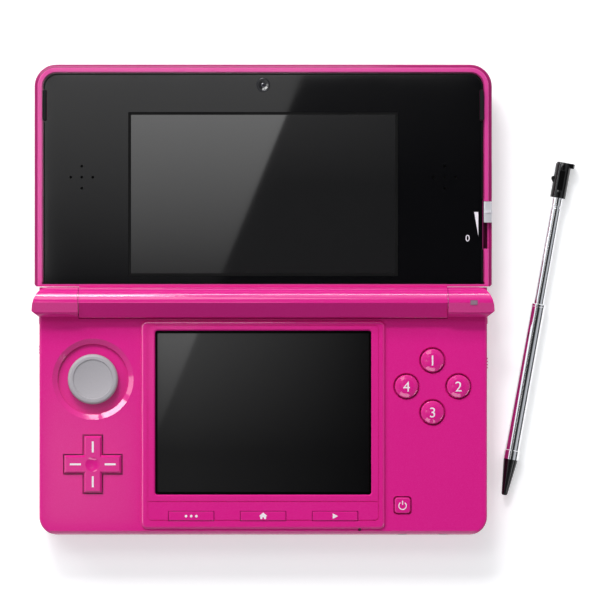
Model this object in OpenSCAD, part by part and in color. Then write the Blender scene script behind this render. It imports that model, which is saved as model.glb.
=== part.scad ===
// Clamshell handheld game console, lid opened flat, with its telescopic stylus laid beside it.
// X runs to the right, Y away from the player, Z up from the table. Millimetres.

/* [Base] */
// Width of the base across its widest line
base_w = 130.2; // [128:0.2:134]
// Depth of the base from its front edge to its rear wall
base_d = 72; // [71:0.5:76]
// Height of the control deck above the table
deck_z = 12.2; // [12:0.1:12.6]
// Height of the raised centre panel above the deck
panel_rise = 0.8; // [0.5:0.1:1]
// Width of the raised centre panel
panel_w = 70.9; // [70:0.1:73]
// Corner radius of the base seen from above
base_r = 5.3; // [4.5:0.1:6]
// Height of the line between the bottom cover and the lower case
cover_z = 3; // [2.9:0.1:3.1]
// Height of the line between the lower case and the top case
split_z = 8.8; // [8.8:0.1:9]
// Thickness of the outer walls
wall = 1.4; // [1.2:0.1:1.5]
// Thickness of the deck and of the bottom
skin = 1.2; // [1:0.1:1.2]

/* [Hinge] */
// Distance of the hinge axis in front of the rear wall
hinge_inset = 4.4; // [4.3:0.1:4.6]
// Radius of the lid's hinge barrel
barrel_r = 4.5; // [4.3:0.1:4.6]
// Distance from the side of the lid in to the end of the hinge barrel
barrel_inset = 13; // [12.5:0.5:14.5]
// How far the two hinge knuckles stand out over the sides of the base
knuckle_out = 2; // [1.4:0.1:2.6]
// Gap between the closed lid and the raised panel
lid_gap = 0.4; // [0.4:0.05:0.5]

/* [Lid] */
// Width of the lid
lid_w = 133; // [132:0.2:134]
// Distance from the hinge axis to the far edge of the lid
lid_reach = 69.2; // [68.5:0.1:71]
// Thickness of the lid
lid_t = 7.6; // [7.4:0.1:7.8]
// Corner radius of the lid seen from above
lid_r = 6.4; // [5.6:0.1:7]
// Width of the coloured rim around the glossy panel
rim_w = 2.2; // [2:0.1:2.3]

/* [Displays] */
// Width of the upper display
upper_w = 76.8; // [75:0.1:78]
// Height of both displays
display_h = 46.08; // [44:0.1:46.5]
// Width of the lower display
lower_w = 61.44; // [59:0.1:61.6]
// Width of the touch panel's black border
touch_border = 0.6; // [0.4:0.1:0.7]
// Distance from the hinge axis to the middle of the upper display
upper_reach = 31.5; // [31:0.1:32.5]

/* [Circle pad] */
// Distance of the pad's centre from the left side of the base
pad_edge = 15.6; // [15.4:0.1:15.9]
// Distance of the pad's centre in front of the hinge axis
pad_reach = 22.3; // [22.1:0.1:22.6]
// Radius of the pad
pad_r = 7.3; // [7:0.1:7.3]
// Radius of the dish floor that the pad slides over
dish_r = 10.3; // [10.2:0.1:10.4]
// Sliding travel of the pad each way
pad_travel = 2; // [1.6:0.1:2.1]

/* [Directional pad] */
// Distance of the directional pad's centre in front of the hinge axis
dpad_reach = 47; // [46.8:0.1:47.2]
// Span of the directional pad
dpad_span = 16.6; // [16:0.1:16.8]
// Width of each arm of the directional pad
dpad_arm = 5.3; // [5:0.1:5.6]

/* [Buttons] */
// Distance of the middle of the four round buttons from the right side of the base
face_edge = 15.9; // [15.7:0.1:16.1]
// Distance of the middle of the four round buttons in front of the hinge axis
face_reach = 24.4; // [24.2:0.1:24.8]
// Distance of each round button from the middle of the four
face_step = 7.55; // [7.3:0.05:7.7]
// Radius of a round button
face_r = 3.4; // [3.2:0.1:3.5]
// Gap round every button
button_gap = 0.35; // [0.3:0.01:0.38]
// Press travel of a round button
face_travel = 0.8; // [0.6:0.1:0.8]
// Length of each flat key below the touch screen
key_w = 13.15; // [12.5:0.05:14]
// Depth of each flat key
key_d = 2.67; // [2.4:0.01:2.8]
// Distance between the middles of the flat keys
key_step = 20.9; // [20.2:0.1:21.1]
// Side of the square power button
power_w = 4.6; // [4.2:0.1:4.8]

/* [Stylus] */
// Length of the black tip cone
tip_len = 10.7; // [9.5:0.1:11.5]
// Radius of the thick tube
tube_r = 2.2; // [2.1:0.02:2.24]
// Length of the thick tube with its end rings
tube_len = 46.2; // [45.5:0.1:47]
// Radius of the thin tube
inner_r = 1.65; // [1.5:0.05:1.7]
// Length of the thin tube that shows when the stylus is drawn out
inner_shown = 31.5; // [29:0.5:32]
// Length of the cap
cap_len = 10.5; // [10:0.1:12]
// Wall of the two stylus tubes
tube_wall = 0.35; // [0.3:0.01:0.4]
// Distance of the cap's end to the right of the middle
stylus_x = 88; // [88:0.5:100]
// Distance of the cap's end behind the origin
stylus_y = 72.5; // [70:0.5:74]
// Angle between the stylus and the side of the console
stylus_turn = 10.2; // [9:0.1:10.5]

/* [Hidden] */
$fn = 48;
fit = 0.05;        // running and seating clearance between small pieces
seam = 0.1;        // gap along the visible seams
press = 0.02;      // radial clearance where a pin or bush is pressed in
front_y = -base_d / 2;
rear_y = base_d / 2;
half_w = base_w / 2;
panel_z = deck_z + panel_rise;
axis_y = rear_y - hinge_inset;
axis_z = panel_z + lid_gap / 2;
cradle_r = barrel_r + 0.3;
cradle_wall = 1;
barrel_half = lid_w / 2 - barrel_inset;
knuckle_in = barrel_half + 0.15;
knuckle_half = half_w + knuckle_out;
pin_seat = knuckle_half - knuckle_in - 4.45;   // how deep the hinge's shaft and bush reach into the knuckles
deck_edge = 0.8;                           // width of the rounded edge all round the deck
panel_edge = 0.9;                          // width of the rounded edge of the raised panel
window_bevel = 0.35;                       // bevel round the touch screen's window
lower_inset = 0.4;                         // the lower case stands back from the top case
inner_half = half_w - lower_inset - wall;  // inside of the lower case
deck_under = deck_z - skin;
panel_under = panel_z - skin;
floor_z = 6.6;                             // underside of the lower case's inner floor
floor_t = 0.8;
floor_top = floor_z + floor_t;
board_z = floor_top + 0.5;
board_t = 0.8;
board_top = board_z + board_t;
strip_y = rear_y - 2.3;                    // front of the rear wall, which reaches down past the cover

// Hinge: a sprung cartridge and a headed shaft on the right, a bush with the flex cable on the left
pin_r = 1.8;
pin_head_r = 2.6;
pin_in = 8;                                // how far the shaft reaches into the barrel
cartridge_r = 3.35;
cartridge_len = 14;
bush_r = 3.2;
bush_in = 7;                               // how far the bush reaches into the barrel
flex_r = 2;
flex_len = 28;

// Lid levels, from its back face up to its inner face
lid_top = axis_z - lid_gap / 2;
lid_back = lid_top - lid_t;
lid_near = axis_y + barrel_r + 0.15;
lid_far = axis_y + lid_reach;
lid_half = lid_w / 2;
lid_skin = 1.2;
lid_floor = lid_back + lid_skin;           // inner face of the lid's back
lid_wall = 1.3;
roll = 0.9;                                // width of the cover's rolled edge round the frame
seat_z = lid_top - 2;                      // ledge that the lid frame rests on
plate_t = 0.9;                             // frame plate under the glossy panel
panel_t = 0.8;
panel_gap = 0.4;
panel_inset = rim_w + panel_gap;
lid_panel_z = seat_z + plate_t + fit;
panel_near = lid_near + 0.85;
neck_z = lid_top - 4;                      // underside of the neck between barrel and lid
upper_y = axis_y + upper_reach;
window_border = 0.8;

// Controls on the deck
pad_x = half_w - pad_edge;
pad_y = axis_y - pad_reach;
dish_floor = deck_z - 1.7;
dish_under = dish_floor - 0.7;
dish_edge = dish_r + 1.5;
stem_r = 3.2;
slide_reach = pad_travel * sqrt(2);        // farthest sideways reach with both slides at a limit
dish_hole = stem_r + slide_reach + 0.25;
skirt_r = dish_hole + slide_reach + 0.2;
skirt_t = 0.4;
skirt_z = dish_under - 0.2 - skirt_t;
tongue = 4;                                // square tongue under the pad's stem
carriage_z = floor_top + 0.95;
carriage_t = 0.6;
carriage_w = 15;
carriage_d = 17;
rail = 1;
dpad_x = -pad_x;
dpad_y = axis_y - dpad_reach;
dpad_top = deck_z + 0.9;
disc_z = deck_under - 1.2;
disc_r = dpad_span / 2 + 1.3;
pivot_z = board_top + 0.65;
shaft_r = 0.5;                             // the two shafts that the directional pad tips on
shaft_half = 1.5;
seat_r = 2.2;
face_x = half_w - face_edge;
face_y = axis_y - face_reach;
face_top = deck_z + 0.95;
flange_t = 0.75;
power_x = half_w - 24.6;
power_y = axis_y - 58.95;
key_y = axis_y - 62.05;
panel_back = axis_y - 5.3;
panel_front = front_y + 1.8;
touch_y = axis_y - 32;
touch_w = lower_w + 2 * touch_border;
touch_h = display_h + 2 * touch_border + 0.2;
mic_x = 28;
mic_y = panel_front - 0.2;
mic_z = split_z + 0.9;
mic_top = deck_under - 0.25;               // stays under the pressed key beside it

// Things at the rear wall
slot_w = 33.6;
slot_h = 4.2;
slot_z = 3.9;                              // middle height of the game card slot
cage_t = 0.5;
sleeve_x = -27;
sleeve_z = 4.3;
sleeve_r = 2.85;
sleeve_wall = 0.5;
sleeve_back = rear_y - 1;
sleeve_len = base_d - 1 - lower_inset - wall - 0.1;
port_x = 27;
ir_x = 36.5;
shoulder_in = half_w - 17.5;
shoulder_z = cover_z + 1.1;
shoulder_top = split_z - 0.2;
shoulder_t = 1.6;
shoulder_front = rear_y - 11;
shoulder_pin_x = shoulder_in + 2;
shoulder_pin_y = rear_y - 3;
shoulder_pin_r = 0.8;
shoulder_gap = 1.4;                        // room for the pressed button in front of it

// Side controls
side_z = 5.2;                              // middle height of the side sliders
jack_z = 5.7;
jack_len = 12.5;
volume_y = axis_y - 13.8;
volume_travel = 3.5;                       // each way from the middle
wireless_y = axis_y - 17.7;
wireless_travel = 1.8;
sd_y = -13;
sd_w = 24.6;
sd_h = 2.3;
flap_w = 28;
flap_h = 3.6;
flap_t = 1;
sd_z = cover_z + seam + flap_h / 2;        // middle height of the memory card slot and of its cover

// Battery bay
battery_x = 5;
battery_y = -9.3;
battery_w = 54;
battery_d = 26;
bay_gap = 0.3;
bay_wall = 1;
bay_w = battery_w + 2 * bay_gap;
bay_d = battery_d + 2 * bay_gap;

// Lights
led_x = [half_w - 24.6, half_w - 12.9];    // power and charge lights at the front edge
led_w = 2.4;
led_z = 9.7;
led_h = 0.8;
radio_led_y = 8.5;                         // light beside the wireless switch
radio_led_w = 2;
notice_x = (knuckle_in + knuckle_half) / 2 + 0.7;
notice_w = 2;
notice_d = 1.3;

// Speakers, bumpers and cameras of the lid
speaker_w = 13.8;
speaker_d = 19.8;
cone_r = 5.6;
sound_step = 3.2;
bumper_x = lid_half - 3;
bumper_y = lid_far - 11.9;
bumper_w = 1.1;
bumper_r = bumper_w / 2 - 0.05;            // corners of the bumpers
bumper_len = 9;
outer_camera_x = 17.5;
camera_depth = 6;                          // distance of all three cameras from the far edge

// Fasteners
case_screw_x = half_w - 6.1;
case_screws_at = [for (sx = [-1, 1], y = [front_y + 5, rear_y - 13.5]) [sx * case_screw_x, y]];
cover_screws_at = [[24.1 - half_w, rear_y - 9.5], [half_w - 24.1, rear_y - 9.5],
  [30.6 - half_w, front_y + 5.5], [half_w - 19.1, front_y + 5.5]];
screw_r = 0.9;

// Depth slider on the lid's right edge
slider_len = 6.1;
slider_travel = 7.5;
slider_y = axis_y + 26.3;
slider_in = lid_half - 2.4;
slider_slot_z = lid_top - 3;

// Stylus, drawn out, lying on the table beside the console
ring_r = tube_r + 0.15;
stylus_len = tip_len + tube_len + inner_shown + cap_len;
overlap_len = 8;

// ---------------------------------------------------------------- helpers

// An outline drawn in Y and Z, run along X
module x_run(x0, x1) {
  translate([x0, 0, 0]) rotate([90, 0, 90]) linear_extrude(height = x1 - x0) children();
}

// An outline drawn in X and Z, run along Y
module y_run(y0, y1) {
  translate([0, y1, 0]) rotate([90, 0, 0]) linear_extrude(height = y1 - y0) children();
}

// A box given by its lowest and highest corners
module span(low, high) {
  translate(low) cube(high - low);
}

module tube(r_out, r_in, h) {
  difference() {
    cylinder(r = r_out, h = h);
    translate([0, 0, -1]) cylinder(r = r_in, h = h + 2);
  }
}

// A rectangle with round corners, its middle at the origin
module round_rect(w, d, r) {
  square([w - 2 * r, d], center = true);
  square([w, d - 2 * r], center = true);
  for (sx = [-1, 1], sy = [-1, 1]) {
    translate([sx * (w / 2 - r), sy * (d / 2 - r)]) circle(r = r);
  }
}

// Points on an arc, for outlines
function arc(cx, cz, r, a0, a1, n) =
  [for (i = [0:n]) [cx + r * cos(a0 + (a1 - a0) * i / n), cz + r * sin(a0 + (a1 - a0) * i / n)]];

function flipped(points) = [for (i = [len(points) - 1:-1:0]) [-points[i][0], points[i][1]]];

// A housing that is cut off flat at one end and has two round corners at the other. The profile is
// a list of [how far the wall stands in, height], from the bottom up, and follows the round corners.
module housing(half, y_flat, y_round, r, profile) {
  s = y_round > y_flat ? 1 : -1;
  yc = y_round - s * r;
  low = profile[0][1];
  high = profile[len(profile) - 1][1];
  side = [for (p = profile) [half - p[0], p[1]]];
  y_run(min(y_flat, yc), max(y_flat, yc)) polygon(concat(side, flipped(side)));
  x_run(r - half, half - r)
    polygon(concat([[yc, low]], [for (p = profile) [y_round - s * p[0], p[1]]], [[yc, high]]));
  for (sx = [-1, 1]) {
    turn = s > 0 ? (sx > 0 ? 0 : 90) : (sx > 0 ? 270 : 180);
    translate([sx * (half - r), yc, 0]) rotate([0, 0, turn])
      rotate_extrude(angle = 90)
        polygon(concat([[0, low]], [for (p = profile) [r - p[0], p[1]]], [[0, high]]));
  }
}

// The same housing with one straight inset all the way up, for hollows
module hollow(half, y_flat, y_round, r, z0, z1) {
  housing(half, y_flat, y_round, r, [[0, z0], [0, z1]]);
}

// A block with four round upright corners whose sides follow the profile, from the bottom up
module pillow(w, d, r, profile) {
  low = profile[0][1];
  high = profile[len(profile) - 1][1];
  across = [for (p = profile) [w / 2 - p[0], p[1]]];
  along = [for (p = profile) [d / 2 - p[0], p[1]]];
  y_run(r - d / 2, d / 2 - r) polygon(concat(across, flipped(across)));
  x_run(r - w / 2, w / 2 - r) polygon(concat(along, flipped(along)));
  for (sx = [0, 1], sy = [0, 1]) mirror([sx, 0, 0]) mirror([0, sy, 0])
    translate([w / 2 - r, d / 2 - r, 0]) rotate_extrude(angle = 90)
      polygon(concat([[0, low]], [for (p = profile) [r - p[0], p[1]]], [[0, high]]));
}

// The top of a side that rounds over into a flat top: a quarter of an ellipse
function rounded_top(width, height, top, step) =
  [for (t = [0:step:90]) [width * (1 - cos(t)), top - height * (1 - sin(t))]];

// ---------------------------------------------------------------- base casings

// The underside curves up to the seam as a quarter of an ellipse, then the lower case rises straight
under_curve = 3;
bottom_profile = [for (t = [0:15:90]) [lower_inset + under_curve * (1 - sin(t)), cover_z * (1 - cos(t))]];

module cradle_cut(extra = 0) {
  x_run(-knuckle_in, knuckle_in) translate([axis_y, axis_z]) circle(r = cradle_r + extra);
}

// Outline of a knuckle seen from above, flaring out over the side of the base
module knuckle_plan() {
  back = barrel_r;
  front = -4.1;
  polygon(concat(
    [[knuckle_in, front], [half_w, front], [knuckle_half, -2.5]],
    [for (p = arc(0, 0, 1, 0, 90, 6))
      [knuckle_half - 4.5 + 4.5 * p[0], -2.5 + (back + 2.5) * p[1]]],
    [[knuckle_in, back]]
  ));
}

module knuckle(side) {
  mirror([side < 0 ? 1 : 0, 0, 0]) intersection() {
    x_run(knuckle_in, knuckle_half) translate([axis_y, axis_z]) union() {
      intersection() {
        circle(r = barrel_r);
        rotate(20) translate([-9, -9]) square([18, 9 + 4.25]);
      }
      translate([-4.1, split_z - axis_z]) square([hinge_inset + 4.1, axis_z - split_z]);
    }
    translate([0, axis_y, split_z]) linear_extrude(height = 12) knuckle_plan();
  }
}

module deck_holes() {
  // circle pad: a bevelled ring round the dish, and the hole for the stem
  translate([-pad_x, pad_y, 0]) {
    translate([0, 0, dish_floor]) cylinder(r = dish_r, h = 9);
    translate([0, 0, deck_z - 0.9]) cylinder(r1 = dish_r, r2 = dish_edge + 0.17, h = 1);
    translate([0, 0, dish_under - 3]) cylinder(r = dish_hole, h = 9);
  }
  // directional pad
  translate([dpad_x, dpad_y, deck_z / 2]) {
    span([-dpad_span / 2 - button_gap, -dpad_arm / 2 - button_gap, 0],
         [dpad_span / 2 + button_gap, dpad_arm / 2 + button_gap, 9]);
    span([-dpad_arm / 2 - button_gap, -dpad_span / 2 - button_gap, 0],
         [dpad_arm / 2 + button_gap, dpad_span / 2 + button_gap, 9]);
  }
  // round buttons, each with a fine bevel
  for (a = [0:90:270]) translate([face_x + face_step * cos(a), face_y + face_step * sin(a), 0]) {
    translate([0, 0, split_z]) cylinder(r = face_r + button_gap, h = 9);
    translate([0, 0, deck_z - 0.25])
      cylinder(r1 = face_r + button_gap, r2 = face_r + button_gap + 0.35, h = 0.35);
  }
  // power button
  translate([power_x, power_y, split_z]) linear_extrude(height = 9)
    round_rect(power_w + 2 * button_gap, power_w + 2 * button_gap, 1);
  // flat keys
  for (i = [-1:1]) translate([i * key_step, key_y, split_z]) linear_extrude(height = 9)
    round_rect(key_w + 0.3, key_d + 0.3, 0.3);
  // touch screen window with a bevel
  translate([0, touch_y, split_z]) linear_extrude(height = 9)
    round_rect(touch_w + 2 * seam, touch_h + 2 * seam, 0.8);
  translate([0, touch_y, 0])
    pillow(touch_w + 2 * seam + 2 * window_bevel, touch_h + 2 * seam + 2 * window_bevel, 0.8 + window_bevel,
      [[window_bevel + seam, panel_z - window_bevel - seam], [0, panel_z], [0, panel_z + 1]]);
  // microphone hole through the panel's front bevel
  translate([mic_x, mic_y, split_z]) cylinder(r = 0.45, h = 9);
}

// Fine line cut into the raised panel inside its rim
module panel_groove() {
  line = 0.25;
  depth = 0.2;
  w = panel_w - 3.6;
  d = panel_back - panel_front - 3.6;
  yc = (panel_back + panel_front) / 2 + 0.6;
  translate([0, yc, panel_z - depth]) linear_extrude(height = 1) difference() {
    round_rect(w, d, 1.2);
    round_rect(w - 2 * line, d - 2 * line, 1);
  }
  // cross line between the touch screen and the keys
  y = touch_y - touch_h / 2 - 2.2;
  span([-w / 2, y, panel_z - depth], [w / 2, y + line, panel_z + 1]);
}

module raised_panel() {
  yc = (panel_back + panel_front) / 2;
  d = panel_back - panel_front;
  side = concat([[0, deck_z - 0.5]], rounded_top(panel_edge, panel_rise - 0.1, panel_z, 15));
  translate([0, yc, 0]) pillow(panel_w, d, 1.7, side);
}

module top_case() {
  color("mediumvioletred") difference() {
    union() {
      difference() {
        union() {
          housing(half_w, rear_y, front_y, base_r, concat(
            [[0.25, split_z], [0, split_z + 0.3]], rounded_top(deck_edge, deck_edge - 0.1, deck_z, 18)));
          raised_panel();
        }
        // hollow under the deck, and a higher one under the raised panel
        hollow(half_w - wall, rear_y - wall, front_y + wall + 0.6, base_r - wall, split_z - 1, deck_under);
        span([-panel_w / 2 + wall, panel_front + wall, split_z],
             [panel_w / 2 - wall, panel_back - wall, panel_under]);
        // long bevel along the front edge
        x_run(-half_w, half_w) polygon([
          [front_y - 1, split_z + 1.2], [front_y, split_z + 1.2], [front_y + 0.5, deck_z - 0.8],
          [front_y + 1.2, deck_z], [front_y + 1.2, deck_z + 1], [front_y - 1, deck_z + 1]
        ]);
      }
      // curved wall under the hinge barrel
      difference() {
        intersection() {
          cradle_cut(cradle_wall);
          span([-knuckle_in, axis_y - cradle_r - cradle_wall, split_z], [knuckle_in, axis_y, deck_z]);
        }
        span([-99, panel_back - 99, split_z - 1], [99, axis_y - cradle_r - cradle_wall, deck_z]);
      }
      // knuckles and the rear corners that carry them
      for (side = [-1, 1]) knuckle(side);
      // dish of the circle pad
      translate([-pad_x, pad_y, dish_under]) cylinder(r = dish_edge + 0.3, h = deck_z - dish_under - 0.4);
      // bosses for the case screws and the microphone
      for (p = case_screws_at) translate([p[0], p[1], split_z])
        cylinder(r = 2.2, h = deck_under - split_z + 0.2);
      translate([mic_x, mic_y + 1.9, mic_z]) cylinder(r = 2.5, h = mic_top - mic_z);
    }
    // clearance for the barrel and the neck of the lid
    cradle_cut();
    span([-knuckle_in, axis_y, split_z - 1], [knuckle_in, rear_y + 9, axis_z + 9]);
    deck_holes();
    panel_groove();
    for (p = case_screws_at) translate([p[0], p[1], split_z - 1]) cylinder(r = screw_r + fit, h = 3);
    translate([mic_x, mic_y + 1.9, split_z]) cylinder(r = 2 + fit, h = mic_top - split_z + fit);
    // bores in the knuckles for the hinge bush on the left and the hinge shaft on the right
    translate([-knuckle_in - pin_seat, axis_y, axis_z]) rotate([0, 90, 0])
      cylinder(r = bush_r + press, h = pin_seat + 1);
    translate([knuckle_in - 1, axis_y, axis_z]) rotate([0, 90, 0])
      cylinder(r = pin_r + press, h = pin_seat + 1);
    // pocket for the notice light, and the front slots of the two status lights
    translate([notice_x, axis_y, axis_z + barrel_r])
      span([-notice_w / 2 - fit, -notice_d / 2 - fit, -1.2], [notice_w / 2 + fit, notice_d / 2 + fit, 1]);
    for (x = led_x)
      span([x - led_w / 2 - fit, front_y - 1, led_z - fit],
           [x + led_w / 2 + fit, front_y + 3, led_z + led_h + fit]);
  }
}

// Room for the stylus sleeve, from behind the rear wall up to the front wall
module sleeve_cut() {
  translate([sleeve_x, sleeve_back + 9, sleeve_z]) rotate([90, 0, 0])
    cylinder(r = sleeve_r + sleeve_wall + fit, h = sleeve_len + 9 + fit);
}

module lower_shell() {
  difference() {
    union() {
      housing(half_w, rear_y, front_y, base_r, [[lower_inset, cover_z + seam], [lower_inset, split_z]]);
      // rear wall, reaching down behind the bottom cover
      span([-half_w + 3.4, strip_y, 0.5], [half_w - 3.4, rear_y, cover_z + 1]);
    }
    // hollows above and below the inner floor
    hollow(inner_half, strip_y, front_y + lower_inset + wall, base_r - wall, floor_top, split_z + 1);
    hollow(inner_half, strip_y, front_y + lower_inset + wall, base_r - wall, -1, floor_z);
    // rear underside eased like the front
    x_run(-99, 99) polygon([
      [rear_y - 1.4, 0], [rear_y - 1.4, 0.5], [rear_y, 1.9], [rear_y + 1, 1.9], [rear_y + 1, 0]
    ]);
    // shoulder button pockets
    for (side = [-1, 1]) mirror([side < 0 ? 1 : 0, 0, 0])
      span([shoulder_in - 0.3, shoulder_front - shoulder_gap, shoulder_z - fit],
           [99, rear_y + 9, split_z + 1]);
  }
}

module lower_case() {
  color("mediumvioletred") difference() {
    union() {
      lower_shell();
      // bed under the hinge barrel
      span([-shoulder_in, axis_y - 3, floor_top - 0.1], [shoulder_in, strip_y + 0.1, split_z]);
      // ribs round the battery, held clear of the bottom cover
      translate([battery_x, battery_y, cover_z + seam]) linear_extrude(height = floor_z - cover_z)
        difference() {
          square([bay_w + 2 * bay_wall, bay_d + 2 * bay_wall], center = true);
          square([bay_w, bay_d], center = true);
        }
      // posts for the case screws and the cover screws
      for (p = case_screws_at) translate([p[0], p[1], cover_z + seam])
        cylinder(r = 2.5, h = split_z - cover_z - seam);
      for (p = cover_screws_at) translate([p[0], p[1], 2.4 + fit]) cylinder(r = 2.4, h = floor_z - 2.4);
      // shelf under each shoulder button, with the pin it turns on
      for (side = [-1, 1]) mirror([side < 0 ? 1 : 0, 0, 0]) {
        span([shoulder_in - 1.5, shoulder_front - 2.6, cover_z + seam],
             [inner_half + 0.1, strip_y + 0.1, shoulder_z - fit]);
        translate([shoulder_pin_x, shoulder_pin_y, shoulder_z - 0.5])
          cylinder(r = shoulder_pin_r, h = shoulder_top - shoulder_z + 0.5);
      }
      // stand-offs under the main board
      for (x = [-32, 0, 32], y = [-25, 10]) translate([x, y, floor_top - 0.1]) cylinder(r = 1.5, h = 0.6);
    }
    // barrel and neck clearance
    cradle_cut();
    span([-knuckle_in, axis_y, neck_z - 0.5], [knuckle_in, rear_y + 9, axis_z]);
    // screw holes
    for (p = case_screws_at) translate([p[0], p[1], 0]) {
      cylinder(r = screw_r + 0.1, h = 20);
      cylinder(r = 1.9, h = 5);
    }
    for (p = cover_screws_at) translate([p[0], p[1], 0]) cylinder(r = screw_r + fit, h = 6);
    sleeve_cut();
    // rear openings: game card, charging port, infrared window
    span([-slot_w / 2, strip_y - 1, slot_z - slot_h / 2], [slot_w / 2, rear_y + 1, slot_z + slot_h / 2]);
    span([port_x - 4, strip_y - 1, 3], [port_x + 4, rear_y + 1, 6.2]);
    span([ir_x - 3 - fit, rear_y - 1.2, 3.2 - fit], [ir_x + 3 + fit, rear_y + 1, 6.2 + fit]);
    span([ir_x - 2, strip_y - 1, 3.7], [ir_x + 2, rear_y + 1, 5.7]);
    // headphone socket at the front
    translate([0, front_y + 9, jack_z]) rotate([90, 0, 0]) cylinder(r = 2.5 + fit, h = 20);
    span([-3 - fit, front_y + lower_inset + wall, jack_z - 2.2],
         [3 + fit, front_y + lower_inset + jack_len + 0.2, split_z]);
    // left wall: volume slot, memory card slot with its recessed cover
    span([-half_w - 1, volume_y - volume_travel - 1.6, side_z - 0.6],
         [-inner_half + 1, volume_y + volume_travel + 1.6, side_z + 0.6]);
    span([-half_w - 1, sd_y - sd_w / 2, sd_z - sd_h / 2], [-inner_half + 1, sd_y + sd_w / 2, sd_z + sd_h / 2]);
    span([-half_w - 1, sd_y - flap_w / 2 - seam, cover_z],
         [-half_w + lower_inset + flap_t + fit, sd_y + flap_w / 2 + seam, sd_z + flap_h / 2 + seam]);
    // right wall: wireless switch slot and its light
    span([inner_half - 1, wireless_y - 1.6, side_z - 0.6],
         [half_w + 1, wireless_y + wireless_travel + 1.6, side_z + 0.6]);
    translate([0, radio_led_y, side_z]) span([inner_half - 1, -radio_led_w / 2 - fit, -led_h / 2 - fit],
      [half_w + 1, radio_led_w / 2 + fit, led_h / 2 + fit]);
  }
}

module battery_cover() {
  color("palevioletred") difference() {
    union() {
      difference() {
        intersection() {
          housing(half_w, rear_y, front_y, base_r, bottom_profile);
          span([-99, -99, 0], [99, strip_y - seam, 99]);
        }
        hollow(half_w - 2.9, strip_y - seam - wall, front_y + 2.9, base_r - 2.6, skin, 99);
      }
      for (p = cover_screws_at) translate([p[0], p[1], skin - 0.1]) cylinder(r = 3.2, h = 2.4 - skin + 0.1);
      // stiffening ribs across the floor
      for (x = [-56, 37, 52]) span([x - 0.4, -28, skin - 0.1], [x + 0.4, 20, skin + 0.7]);
    }
    for (p = cover_screws_at) translate([p[0], p[1], -1]) {
      cylinder(r = screw_r + 0.15, h = 9);
      cylinder(r = 2.1, h = 2.3);
    }
    sleeve_cut();
    // notch in the rear edge for the game card cage
    span([-slot_w / 2 - cage_t - seam, strip_y - wall - 1, skin],
         [slot_w / 2 + cage_t + seam, strip_y + 1, cover_z + 1]);
  }
}

// ---------------------------------------------------------------- inside the base

module battery() {
  color("dimgray") union() {
    translate([battery_x, battery_y, skin + 0.1]) linear_extrude(height = floor_z - skin - 0.2)
      round_rect(battery_w, battery_d, 1.5);
    // three contacts on its right end
    for (i = [-1:1]) translate([battery_x + battery_w / 2, battery_y + i * 4, 4.1])
      cube([0.3, 2, 1.8], center = true);
  }
}

module main_board() {
  color("darkgreen") difference() {
    union() {
      span([-inner_half + 0.3, front_y + 4, board_z], [inner_half - 0.3, 23.5, board_top]);
      // shielded chips and connectors
      span([-14, -8, board_top - 0.1], [4, 10, board_top + 0.6]);
      span([8, -4, board_top - 0.1], [22, 8, board_top + 0.6]);
      span([-20, -24, board_top - 0.1], [-6, -14, board_top + 0.5]);
      for (i = [0:5]) span([6 + i * 4, -20, board_top - 0.1], [8.4 + i * 4, -16, board_top + 0.4]);
      // two saddle blocks for the directional pad's pivot
      for (side = [-1, 1]) translate([dpad_x + side * 1.2, dpad_y, 0])
        span([-0.25, -0.9, board_top - 0.1], [0.25, 0.9, pivot_z]);
    }
    translate([dpad_x, dpad_y, pivot_z]) rotate([0, 90, 0]) translate([0, 0, -2])
      cylinder(r = shaft_r + fit, h = 4);
    // room for the circle pad's mechanism, for the corners and for the screw posts
    span([-99, pad_y - carriage_d / 2 - 3.2, 0], [-pad_x + carriage_w / 2 + 4.5, 99, 20]);
    for (p = case_screws_at) translate([p[0], p[1], 0]) cylinder(r = 3, h = 20);
    for (side = [-1, 1]) translate([side * (half_w - 4.1), 0, 0]) span([-4, -99, 0], [4, front_y + 9.5, 20]);
    // notch for the headphone socket
    span([-3.2, -99, 0], [3.2, front_y + lower_inset + jack_len + 0.4, 20]);
  }
}

module touch_panel() {
  color("black") translate([0, touch_y, lower_glass_z()])
    linear_extrude(height = 0.9) round_rect(touch_w, touch_h, 0.7);
}

function lower_glass_z() = panel_z - 1.5;

module lower_display() {
  w = touch_w + 3.4;
  d = touch_h + 2.6;
  t = 1.8;
  color("darkslategray") translate([0, touch_y, lower_glass_z() - t]) difference() {
    linear_extrude(height = t) round_rect(w, d, 1);
    // clipped corners of the module's metal frame
    for (sx = [-1, 1], sy = [-1, 1])
      translate([sx * w / 2, sy * d / 2, 0]) rotate(45) cube([2, 2, 9], center = true);
  }
}

module pad_tray() {
  color("dimgray") translate([-pad_x, pad_y, floor_top]) {
    w = carriage_w + 2 * slide_room() + 2 * rail;
    d = carriage_d + 2 * rail + 2 * fit;
    difference() {
      translate([-w / 2, -d / 2, 0]) cube([w, d, carriage_z + carriage_t - floor_top]);
      translate([-w / 2 + rail, -d / 2 + rail, carriage_z - fit - floor_top])
        cube([w - 2 * rail, d - 2 * rail, 9]);
      cylinder(r = 2, h = 0.4);
    }
  }
}

function slide_room() = pad_travel + 0.2;

module pad_carriage() {
  color("silver") translate([-pad_x, pad_y, carriage_z]) difference() {
    translate([-carriage_w / 2, -carriage_d / 2, 0]) cube([carriage_w, carriage_d, carriage_t]);
    translate([-tongue / 2 - fit, -tongue / 2 - slide_room(), -1])
      cube([tongue + 2 * fit, tongue + 2 * slide_room(), 9]);
    for (side = [-1, 1]) translate([side * 5, 0, -1]) cylinder(r = 1.2, h = 9);
  }
}

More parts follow.
